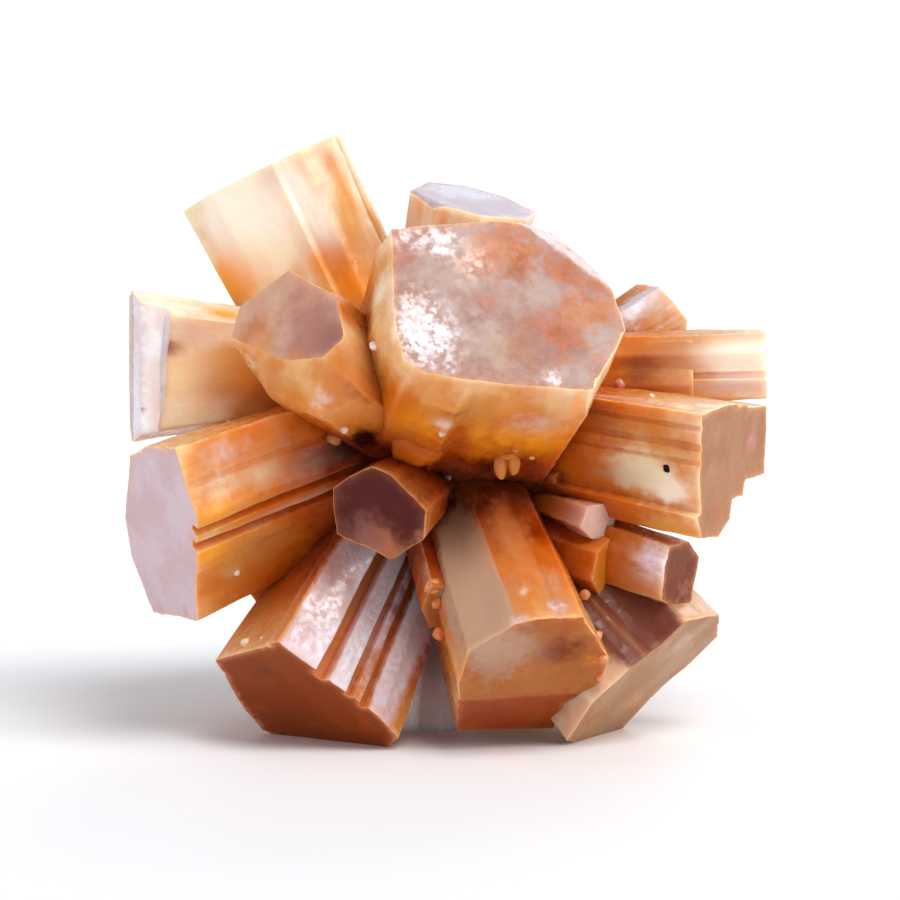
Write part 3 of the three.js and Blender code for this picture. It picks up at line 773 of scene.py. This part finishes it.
# Its ridges facing the right lamp carry milk, satin and pearl as painted highlight; its dark end is its own brown
# deepened as painted shade.
grow(5, "footLeft", (-13.5, -16.6, -21.3), dict(outline=[(-9.3, -4), (-9, -7.2), (-5, -9.5), (3, -9.8), (7.8, -5.8),
    (7.3, -2.5), (1.5, 8.5), (-1.7, 7), (-8.3, 4.2)], grooves=[(5, 0.16, 1, 0.8), (5, 0.3, 0.9, 0.6),
    (5, 0.56, 1.7, 1), (6, 0.5, 0.8, 0.3)]), root=(-2, 0, 0), root_share=0.62, pale=0.1, wear=0.5, brown=0.4,
    face="8c3e0e", line=0.03, grain=0.015, ledge=0.02, rough=0.2,
    pearl=[(-7.3, -15.3, -14, 1.6, 4, 0.9, 28), (-5, -16.1, -18.8, 1.6, 6, 0.4, 28)],
    satin=[(-11.7, -18, -12.7, 5, 14, 0.8, 28), (-5, -15.6, -17.9, 3, 10, 0.8, 28)],
    blush=[(-11.7, -17, -10.6, 2.4, 3, 0.5, 28)], milk=[(-7.7, -15.8, -14.4, 4, 14, 0.8, 28)],
    gloss=[(-12, -17.8, -11.8, 3, 8, 0.9), (-9.2, -14.1, -8.6, 1.6, 3, 0.4), (-7.3, -15.1, -13.6, 1.8, 7, 1),
    (-4.8, -15.7, -18.4, 1.7, 6, 1.1)], rose=[(-11, -16.1, -9.9, 1, 1.3, 1.2), (-12.6, -19.2, -13.6, 0.8, 1.5, 1),
    (-7.8, -13.5, -11.6, 0.7, 1, 1), (-10.2, -17.2, -13.2, 0.6, 1.2, 0.9), (-6.6, -15.5, -15.6, 0.6, 1.2, 0.8)],
    salmon=[(-9.5, -15.5, -10.9, 0.7, 1, 1), (-18.6, -10.8, -13.7, 2.2, 5, 0.4)],
    amber=[(-18.7, -9.8, -23.7, 2.2, 0, 0.35), (-8.7, -16, -24.3, 3, 0, 0.3)],
    umber=[(-16.9, -16.9, -19.2, 2.2, 0, 0.35)])
# The pearl marks are painted glints on the top of its end; the rust facet and rust marks low on its end are its own
# colour deepened as painted shade.
grow(6, "footFront", (7.6, -20.9, -19.2), dict(outline=[(-7.4, 0), (-4.8, -9), (5.2, -9.6), (4.3, -4.5), (7.2, -1),
    (6.9, 2.5), (2.9, 8.4), (-1.7, 8.5), (-3.7, 7.8), (-7.3, 4.4)], grooves=[(6, 0.5, 0.9, 0.1)],
    chips=[(270, 2.3, 14, "rust")]), dict(short=9, outline=[(-9, 3.6), (-9.2, 0), (-7.6, -3), (-5, -2), (-5, 3.4)]),
    root_share=0.76, pale=0.15, wear=0.15, brown=0.2, face="b06a34", line=0.015, grain=0.02, ledge=0.03, rough=0.3,
    dun=[(0.8, -18.6, -8.8, 3, 5, 0.8, 150), (2.3, -23.7, -12.9, 4, 8, 1.2, 150), (2.8, -24.1, -12.9, 1.6, 5, 0.6),
    (9.1, -22.4, -10.4, 1.8, 2.2, 0.5), (5.7, -23.7, -10.7, 1.2, 1.8, 0.4), (4.5, -24.7, -16.2, 3.4, 0, 1.3)],
    umber=[(0.8, -15.7, -5.7, 2, 3, 0.6)], salmon=[(5.7, -18.7, -6.7, 2.2, 5, 0.8)],
    amber=[(5.8, -16, -4.8, 1.8, 4, 0.4), (11.2, -15.2, -10.6, 1, 3, 0.5), (11, -24.6, -13.8, 1, 0, 0.5)],
    gloss=[(9.8, -24.4, -12.1, 1.3, 1.3, 1.7), (6.4, -26.4, -12.8, 1, 1.2, 1.6)],
    pearl=[(9.6, -24.6, -12.3, 1, 0.5, 1), (6.4, -26.6, -12.9, 0.7, 0.45, 0.9)],
    cream=[(6.9, -24.3, -10.9, 0.45, 0.45, 0.9)], blush=[(5.1, -25.1, -15.6, 1.6, 0, 0.4)],
    ember=[(10.3, -22.7, -16.1, 2.1, 0, 0.8)], glow=[(13.4, -20.2, -17.7, 1, 0, 0.6)],
    rust=[(5.4, -17.7, -23.1, 2.6, 0, 0.9), (9.1, -17.5, -22.3, 2, 0, 0.8)])
# Its bright snow mark is its own pale colour pushed up as painted light, as the crystal sits in shade.
grow(7, "footMiddle", (-1.4, -3.5, -27), dict(outline=twin(5, 6, 20)), root=(0, -2, 0), pale=0.9, brown=0,
    face="a87858",
    blush=[(-1.4, -5.9, -23.3, 3, 5, 0.8)], snow=[(-1.4, -5.9, -23.3, 3, 5, 2)],
    ember=[(-1.6, -5.4, -20, 1.8, 2.4, 1.8)])
# To the left and on top.
# The snow and pearl chips paint the white reflection on its bevelled end, and the sun marks paint light on its lower
# front.
grow(8, "leftUpper", (-30.5, -3.2, 8.2), dict(outline=[(-7, 0), (-4, -6.4), (1.5, -7), (6, -5.8), (6.6, 6), (2, 7.6),
    (-5, 6.6)], chips=[(0, 4.5, 60, "snow"), (0, 2.1, 15, "pearl")]), root=(0, 0, 8.1), root_share=0.35, pale=0.85,
    brown=0, face="c0a090", line=0.012,
    sun=[(-25.6, -8.4, 7.9, 2.4, 4, 1), (-25.9, -8.3, 5.1, 2.2, 4, 1), (-25.5, -8.1, 3.3, 1.8, 4, 1.2)],
    rust=[(-26.4, -8.7, 10.5, 0.6, 0.9, 1.4)], ivory=[(-26.4, -8.4, 4.2, 1.6, 3, 0.8)],
    blush=[(-24.8, -8.5, 12.2, 1.6, 2, 0.5)], salmon=[(-22.7, -7.7, 7.2, 2.2, 2.6, 0.6)],
    glow=[(-21.6, -5.9, 13.7, 1.4, 3, 0.8), (-20.4, -7.1, 7.6, 2, 3, 0.8)], honey=[(-20.1, -7.2, 9.6, 2, 3, 0.6)])
grow(9, "topLeft", (-18.1, 1.1, 26.6), dict(outline=[(-8.4, -2), (-5, -5.6), (1.6, -6.4), (2.2, -5.9), (4.4, -6),
    (7.8, -3.8), (8.8, 0.4), (6, 5.6), (-3, 6)], grooves=[(5, 0.4, 1.2, 0.5)]), root=(-5, -1.5, 0), root_share=0.8,
    pale=0.98, brown=0, face="e8cdb0", line=0.015,
    ivory=[(-18.7, -5, 22.6, 4.4, 5, 1), (-21.7, -3.9, 21.2, 1.8, 4, 0.6), (-14.3, -5, 25, 0.9, 4, 0.8),
    (-12.5, -5.1, 23, 0.9, 3, 0.8), (-8.4, 0.6, 25.9, 0.8, 7, 1.1)], glow=[(-20.6, -2.9, 16.6, 3, 2.6, 1.2),
    (-9.4, -5.5, 16.3, 2, 2.4, 0.8), (-12.4, -5.7, 18.3, 1.6, 1.6, 0.6)], sun=[(-16.9, -5.2, 18.9, 2, 2, 0.8)],
    amber=[(-10.7, -5.4, 18.7, 2.2, 2.2, 0.5), (-11.6, -3.6, 28.2, 0.9, 1.1, 0.3)],
    honey=[(-9.6, -4.5, 21.8, 1.2, 3, 0.8), (-10.1, -3.6, 25.2, 1.1, 4, 0.8)],
    dun=[(-17, -5.2, 26.3, 1.4, 1.4, 0.35)])
grow(10, "top", (2.2, -1.5, 24.3), dict(outline=[(-6, -2.6), (-3.6, -5.6), (1, -6), (5.4, -3.4), (6.2, 0.6), (3, 4),
    (-0.8, 4.7), (-4.6, 2.6)], chips=[(225, 5.8, 40)]), root=(-3, 3, 2), pale=0.75, brown=0, face="b4b0c0",
    line=0.012,
    honey=[(-2.9, -5.1, 23.4, 0.7, 1.4, 0.6), (-0.6, -6.8, 22.7, 0.8, 1, 0.7)])
# To the right.
grow(11, "rightUpper", (30.3, -1.2, 8.6), dict(outline=[(-4.6, -3.2), (4, -3.4), (5.6, 0), (3.6, 3), (-3.4, 3),
    (-5, 1.4)], grooves=[(5, 0.5, 0.8, 0.2)]), dict(short=7, outline=[(-5.4, -1.6), (-4.6, -4), (0, -4), (0, 2.6),
    (-4, 2.6)]), root=(0, 0, 8), root_share=0.95, pale=0.55, brown=0.05, face="dcbca0", line=0.03,
    ivory=[(27.5, -6, 9.1, 2.2, 4, 1.1), (29.1, -6.1, 9.1, 1.4, 2, 0.9)], honey=[(25.7, -4.6, 11.3, 0.8, 5, 0.5)],
    salmon=[(21.7, -5.7, 9.1, 2, 3, 0.5), (21.7, -4.8, 10.9, 1, 3, 0.4)], ember=[(17.9, -5.6, 8.1, 2, 3, 0.6)],
    rose=[(26.6, -5.7, 6.5, 0.7, 5, 0.5)])
grow(12, "right", (26.5, -13.3, -0.7), dict(outline=[(-9, 6.2), (-7.6, 0), (-6.4, -3.4), (-7.2, -3.8), (-5.6, -6),
    (-1.6, -6.2), (0.7, -4.7), (0.8, -2.9), (3.1, -2.7), (3.5, -1.2), (7.8, -1), (6.1, 5.7), (-1.6, 6.6)],
    grooves=[(0, 0.25, 0.7, 0.16), (0, 0.55, 0.9, 0.2), (0, 0.8, 0.6, 0.14)]), root=(1, 0, 3), root_share=0.8,
    pale=0.3, brown=0.1, face="a57652", line=0.04,
    honey=[(16.3, -16.8, 4.5, 3, 5, 0.3), (20.6, -16.8, -5.6, 1, 3, 1)], ember=[(13.5, -15.2, 4.9, 2, 3, 0.5)],
    cream=[(17.7, -16.7, -0.3, 2.4, 3, 0.9)], ivory=[(20.5, -17.8, -2.1, 1.6, 1.8, 1)],
    dun=[(15.8, -15.3, -0.9, 1.4, 2, 0.4)], glow=[(17, -11.5, -5.9, 1, 3, 0.6)],
    amber=[(11.3, -12.6, -0.3, 2.4, 3, 0.8), (21.6, -19.5, 2.4, 1.2, 1.6, 0.4)], rose=[(28.5, -10.1, 2, 1.6, 0, 0.7),
    (24.9, -17.2, 2.6, 1, 0, 0.4), (22.4, -16.8, 5.9, 0.8, 1.2, 0.6)], salmon=[(25.1, -14.9, -4.4, 1.8, 0, 0.6)])
# The pearl mark on its side is a painted highlight.
grow(13, "rightLower", (21.5, -14, -10.4), dict(outline=[(-3.3, 1), (-2.6, -2.2), (0.5, -3.4), (3.4, -3), (3.2, 1.4),
    (0.6, 3.2), (-3, 3.1)], grooves=[(6, 0.5, 0.7, 0.08)]), dict(short=6.2, face="cc761e", outline=[(-5, 1),
    (-5.1, -1.6), (-3, -3.4), (0, -3.4), (0, 2), (-3.4, 2.2)]), root=(0, 0, -5), root_share=1.15, pale=0.15,
    brown=0.3, face="7b3e20", line=0.02,
    pearl=[(19.1, -16.4, -9, 1.5, 2, 1.2)], gloss=[(19.1, -16.3, -8.9, 1.3, 1.6, 1)],
    amber=[(14.1, -13, -8.9, 2.4, 3, 0.8)], salmon=[(17.4, -14.7, -11.2, 1.2, 3, 0.4)],
    rose=[(22, -12.6, -12.1, 1.2, 0, 0.4)])
grow(14, "footRight", (19.4, -10, -20.4), dict(outline=[(-3.4, 7.8), (-4.9, 5), (-7.8, 2.4), (-10.2, -2),
    (-8.6, -7.4), (-2, -9.4), (3.6, -8.2), (5, -2.3), (7.3, 0.3), (8.5, 3.7), (4, 7.4)],
    grooves=[(1, 0.5, 1.2, 0.15)]), root=(2, 0, -3), root_share=0.8, pale=0.45, wear=0.15, brown=0.4, face="a67a50",
    line=0.03,
    ember=[(16.5, -14.2, -14, 2.6, 5, 0.9)], umber=[(15.8, -14, -13.7, 3.2, 8, 1.1)],
    mauve=[(19, -15.2, -15.5, 2.2, 5, 0.7), (16.4, -16.2, -16.7, 1.6, 4, 0.6), (23.6, -11.8, -14.3, 1.3, 0, 0.7)],
    dun=[(22.1, -10.6, -17.3, 2.4, 0, 0.6)], honey=[(18, -7.3, -23.3, 2, 0, 0.4)])
grow(15, "rightBackUpper", (21, 9.5, 12.4), dict(outline=twin(10, 8, 0)), pale=0.35, brown=0.3, face="cfaca0",
    milk=[(17.6, 5.8, 13.7, 2, 4, 1.1)], dun=[(20.2, 5.9, 14.3, 2, 0, 0.5)], salmon=[(22.2, 4.6, 11.9, 1.4, 0, 0.4)])
grow(30, "rightBlock", (13.9, -14, -5.4), dict(outline=twin(4.8, 4.2, 12, (1, 0.9, 1, 1, 0.85, 1))),
    root=(4, -2, -3), pale=0.4, brown=0, face="dcbcb0", line=0.02, wear=0.2,
    blush=[(13.7, -13.8, -5.3, 3.4, 2.6, 1), (13.9, -14, -5.4, 4, 0, 0.5)], amber=[(9.6, -9.9, -4.3, 3.4, 4, 2)])
# Away from the viewer.
grow(16, "backTop", (5, 16.5, 18.4), dict(outline=twin(12, 10, 10, (1, 0.9, 1, 1.05, 0.9, 1)), slope=(0.06, 0)),
    dict(short=3, outline=twin(7, 8, 40, du=4.5, dv=-1.5)), root=(0, 2, 0), pale=0.5, brown=0, face="d4b09c")
grow(17, "back", (-3.5, 27, 5.5), dict(outline=twin(17, 15, 15, (1, 1, 0.92, 1, 1.05, 0.9)), chips=[(200, 6.4, 35)],
    grooves=[(0, 0.5, 1.2, 0.8), (2, 0.35, 1, 0.6), (2, 0.7, 1.4, 0.9), (4, 0.5, 0.9, 0.6)]), root_share=0.8,
    pale=0.25, brown=0.1, face="c69c8c", line=0.025, grain=0.05, rough=0.8)
grow(18, "backRightUpper", (16.5, 21, 8), dict(outline=twin(13, 11, 0, (1, 0.86, 1, 0.9, 1, 0.94)),
    grooves=[(1, 0.5, 1, 0.6), (4, 0.4, 1.1, 0.7)]), dict(short=4, outline=twin(6, 7, 20, du=-5.5, dv=-2)),
    pale=0.35, brown=0.1, face="a8785c", line=0.025)
grow(19, "backLeftUpper", (-16.5, 19.5, 11.5), dict(outline=twin(13, 12, 25, (1, 1.05, 0.95, 1, 0.9, 1)),
    grooves=[(3, 0.5, 1.1, 0.7)], slope=(0, -0.08)), pale=0.45, brown=0, face="cdb0ac", line=0.025)
grow(20, "backLeft", (-25, 12, 4), dict(outline=twin(11, 12, 30, (1, 0.85, 1.04, 0.95, 0.86, 1)),
    grooves=[(2, 0.5, 0.9, 0.6)]), dict(short=5, outline=twin(6, 6, 0, du=-4.5, dv=2.5)), root=(0, 0, 2), pale=0.35,
    brown=0, face="ceb0a8", line=0.025)
grow(21, "backRight", (24, 13.5, -1.5), dict(outline=twin(13, 12, 5, (1, 0.9, 1, 1, 1, 0.9)), chips=[(90, 4.2, 50)],
    grooves=[(1, 0.3, 0.9, 0.6), (1, 0.65, 1.2, 0.8), (5, 0.5, 1, 0.5)]), pale=0.35, brown=0.1, face="c89c80",
    line=0.025)
grow(22, "backLeftLower", (-17, 22, -7), dict(outline=twin(15, 12, 0, (1, 1, 0.9, 1, 1.05, 1)),
    grooves=[(0, 0.5, 1.3, 0.9), (1, 0.5, 1.1, 0.6)]), dict(short=2.2, outline=twin(8, 8, 30, du=5, dv=-3.5)),
    root_share=0.8, pale=0.28, brown=0.1, face="8e5c50", line=0.025)
grow(23, "backLower", (7.5, 24.5, -9.5), dict(outline=twin(14, 13, 12, (1, 0.84, 0.96, 1.03, 0.86, 1)),
    grooves=[(0, 0.6, 1, 0.7), (3, 0.4, 1.3, 0.8)], slope=(0.07, 0.05)), pale=0.3, brown=0.2, face="b88868",
    line=0.025)
grow(24, "footBackLeft", (-9.5, 17, -24.2), dict(outline=twin(13, 12, 20, (1, 0.88, 1, 0.9, 1.02, 0.95)),
    grooves=[(1, 0.5, 1.2, 0.8)]), pale=0.3, brown=0.3, face="94502a", line=0.025)
grow(25, "footBackRight", (12.5, 14.5, -24.6), dict(outline=twin(12, 11, 0, (1, 0.9, 1, 0.84, 1.04, 0.95)),
    grooves=[(2, 0.5, 1, 0.6)]), dict(short=6, outline=twin(7, 7, 15, du=4, dv=3)), pale=0.35, brown=0.3,
    face="ac7854", line=0.025)
grow(26, "footSideLeft", (-18, 6.5, -13), dict(outline=twin(11, 10, 10, (1, 0.94, 0.86, 1, 1.03, 0.9)),
    chips=[(300, 3.6, 40)]), pale=0.3, brown=0.2, face="bc8c70", line=0.025)
grow(27, "rightBackLower", (19.5, 8.5, -14), dict(outline=twin(9, 10, 25, (1, 0.86, 1, 0.95, 0.9, 1.04))), pale=0.35,
    brown=0.25, face="84482a", line=0.025)

# Small crystals crowded in between the large ones: place of the end and width.
SPROUTS = (
    (-8, 11, 17, 6), (-14.5, 7, 15, 5), (-3, 8, 20.5, 4.5), (12, 15, 14.5, 6), (14, 5, 15.5, 5.5),
    (6, 22, 1, 6.5), (-12, 21, 1, 6), (-8.5, 21, -9, 6.5), (-22, 11, -5, 6.5), (-19, -2, -14, 6),
    (16.5, 17, -7, 6.5), (1.5, 16, -17.5, 6), (22, 6, 4.5, 6), (4, 6, -23, 6), (-15, 11, -16, 6),
    (-2.2, -12.6, -1, 7), (-10.5, -13.6, 3.4, 5),
)
SPROUT_FACES = ("a8704c", "8a4c34", "bc8c74", "c49c8c", "9c6240")
for i, (x, y, z, width) in enumerate(SPROUTS):
    chance = random.Random(500 + i)
    shares = [chance.uniform(0.72, 1.12) for _ in range(chance.choice((5, 6, 6, 7)))]
    outline = twin(width, 0.85 * width, 17 * i, shares)
    grow_prism(f"sprout_{i + 1}", FIRST_SPROUT + i, (0, 0, 0), (x, y, z), 0.72, outline,
               pale=0.05, brown=0.35, face=SPROUT_FACES[i % len(SPROUT_FACES)], line=0.03, row_step=1.1)

# Lumps on the sides of the crystals: place, width, colour, and for some how tall and how glossy.
KNOBS = (
    (4.7, -16.6, 0.2, 1.25, "resin", 2, 0.2), (5.95, -16.6, 0.45, 1.2, "resin", 1.8, 0.2),
    (5.3, -16.5, 1.4, 2.2, "resin", 0.7, 0.2),
    (8.8, -20.1, 2.9, 0.7, "honey"), (7.6, -16.9, 1, 0.6, "honey"), (6, -18.6, 1.8, 0.6, "amber"),
    (9.9, -21, 3.5, 0.5, "honey"), (-0.7, -22.6, 3.7, 0.7, "blush"), (-2.8, -16.5, 2.5, 5.4, "amber", 1, 0.1),
    (-6.9, -23.3, 11.8, 1, "ivory"), (-10.7, -15.8, 2.6, 1.4, "salmon"), (-9.7, -20.7, 3.9, 0.8, "blush"),
    (16, -7.8, 7, 1, "rose"), (18.8, -14.2, 6.3, 0.7, "cream"),
    (13.5, -22, -15, 1, "salmon"), (14.1, -20, -17.4, 1.2, "salmon"), (13.9, -18.4, -19.4, 0.9, "salmon"),
    (12.9, -15.8, -12.2, 1, "rose"), (10.9, -12.6, -7.8, 1, "rose"), (12, -12.6, -10.2, 0.9, "amber"),
    (-1.6, -18.2, -11, 1.5, "honey"), (-1.2, -17.8, -12.6, 1.2, "amber"),
    (-1, -18.3, -15.4, 1.2, "amber"), (12.6, -14.8, -12.2, 1, "salmon"),
    (-20.6, -13.4, 3.6, 0.9, "rose"), (-20, -15.1, -10, 0.8, "cream"), (-19, -16.9, -16.4, 0.9, "cream"),
    (-17.2, -18.5, -16, 0.9, "cream"),
)
GOLDEN_ANGLE = math.pi * (3 - math.sqrt(5))


def spread(i, count):
    """The i-th of a number of directions that are spread evenly all round."""
    z = 1 - (2 * i + 1) / count
    around = math.sqrt(1 - z * z)
    return Vector((around * math.cos(i * GOLDEN_ANGLE), around * math.sin(i * GOLDEN_ANGLE), z))


def add_lump(name, owner, middle, width, stain, cover, tall=1.0, gloss=0.6, corners=150):
    """A stubby rounded grain: the hull of points spread over a ball, stretched when it is tall."""
    hull = bmesh.new()
    for i in range(corners):
        way = spread(i, corners)
        hull.verts.new(way * width / 2 * (1 + 0.35 * noise.noise(way * 1.6 + Vector((owner, 0, 0)))))
    made = bmesh.ops.convex_hull(hull, input=hull.verts)
    bmesh.ops.delete(hull, geom=list({*made["geom_interior"], *made["geom_unused"]}), context="VERTS")
    for v in hull.verts:
        v.co = v.co * Vector((1, 1, tall)) + middle
    share = min(1, (middle.length - DARK_ROOT_ENDS) / PALING)
    add_bare(name, owner, hull, HEART, share, 0, (0.5, 0.1, 0.2), (*MARK_TINTS[stain], cover), gloss)


for i, (x, y, z, width, stain, *tall) in enumerate(KNOBS):
    add_lump(f"knob_{i + 1}", FIRST_KNOB + i, Vector((x, y, z)), width, stain, 0.85, *tall)
add_lump("dark_grain", DARK_GRAIN, Vector((20.2, -18, 0.1)), 1.1, "ink", 1.0, gloss=0.0)

# Blunt druse that crowds the recesses, and the solid heart.
DRUSE_COUNT = 90
HEART_RADIUS = 10
for i in range(DRUSE_COUNT):
    way = spread(i, DRUSE_COUNT)
    chance = random.Random(i)
    tilt = Vector([chance.uniform(-1, 1) for _ in range(3)]) * 1.6
    width = 2.6 * (1 + 0.25 * math.sin(5 * i))
    grow_prism(f"druse_{i + 1}", FIRST_DRUSE + i, way * 6, way * (13.4 + math.cos(3 * i)) + tilt, 2,
               twin(0.5 * width, 0.45 * width, 40 * i), pale=0.1, brown=0.4, face="7c3410", line=0.02, wear=0,
               row_step=2.5, cap_step=0.9)

ball = bmesh.new()
bmesh.ops.create_icosphere(ball, subdivisions=3, radius=HEART_RADIUS)
cluster = add_bare("crystal_cluster_fine", 0, ball, HEART, 0, 4, (0, 0, 0.5))
grown.objects.unlink(cluster)
bpy.context.scene.collection.objects.link(cluster)


def join(piece, operation, solids):
    """Joins solids to the piece, or takes them away, as one skin."""
    modifier = piece.modifiers.new("join", "BOOLEAN")
    modifier.operation, modifier.solver = operation, "MANIFOLD"
    modifier.operand_type, modifier.collection = "COLLECTION", solids
    seen = bpy.context.evaluated_depsgraph_get()
    made = bpy.data.meshes.new_from_object(piece.evaluated_get(seen), depsgraph=seen)
    piece.modifiers.clear()
    piece.data = made
    for solid in list(solids.objects):
        bpy.data.objects.remove(solid)


join(cluster, "UNION", grown)

# It rests on the flats of its lowest crystals.
GROUND_SIZE = Vector((90, 90, 30))
ground = bmesh.new()
bmesh.ops.create_cube(ground, size=1)
for v in ground.verts:
    v.co = v.co * GROUND_SIZE - Vector((0, 0, GROUND_SIZE.z / 2))
add_bare("ground", GROUND, ground, Vector((0, 0, 0)), 0.8, 1, (0.3, 0.3, 0.4))
join(cluster, "DIFFERENCE", grown)

# Only the outer skin is kept: spaces sealed in between the roots are filled.
skin = bmesh.new()
skin.from_mesh(cluster.data)
bmesh.ops.triangulate(skin, faces=skin.faces)
loose, parts = set(skin.verts), []
while loose:
    part = [loose.pop()]
    for v in part:  # the part grows while it is gone through
        for e in v.link_edges:
            other = e.other_vert(v)
            if other in loose:
                loose.remove(other)
                part.append(other)
    parts.append(part)
parts.sort(key=len, reverse=True)
bmesh.ops.delete(skin, geom=[v for part in parts[1:] for v in part], context="VERTS")
skin.to_mesh(cluster.data)
skin.free()

# How near each point is to the line where two crystals meet, for the painted shade there. Knobs make no
# such line, and the painted shade thins out away from the heart.
SHADE_REACH = 0.9
LEAST_SHADE_FROM, THINNING, LEAST_SHADE = 20, 9, 0.08
mesh = cluster.data
owners = np.empty(len(mesh.polygons), np.int32)
mesh.attributes["owner"].data.foreach_get("value", owners)
corners = corner_points(mesh)
owners[(owners >= FIRST_KNOB) & (owners <= DARK_GRAIN)] = -1
per_corner = np.repeat(owners, 3)
on_crystal = per_corner >= 0
lowest = np.full(len(mesh.vertices), GROUND + 1)
highest = np.full(len(mesh.vertices), -1)
np.minimum.at(lowest, corners[on_crystal], per_corner[on_crystal])
np.maximum.at(highest, corners[on_crystal], per_corner[on_crystal])
meeting = np.nonzero(lowest < highest)[0]
places = np.array([v.co for v in mesh.vertices], np.float32)
tree = kdtree.KDTree(len(meeting))
for i, v in enumerate(meeting):
    tree.insert(places[v], i)
tree.balance()
near = np.array([math.exp(-tree.find(p)[2] / (SHADE_REACH * MM)) for p in places], np.float32)
depth = np.linalg.norm(places - np.array(HEART * MM), axis=1)
near *= np.clip((LEAST_SHADE_FROM * MM - depth) / (THINNING * MM), LEAST_SHADE, 1)
keep(mesh, "seam", np.stack([near, near, near], axis=1), "POINT")

mesh.shade_smooth()
mesh.set_sharp_from_angle(angle=math.radians(36))
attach(cluster, "root")
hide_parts("crystal_cluster")
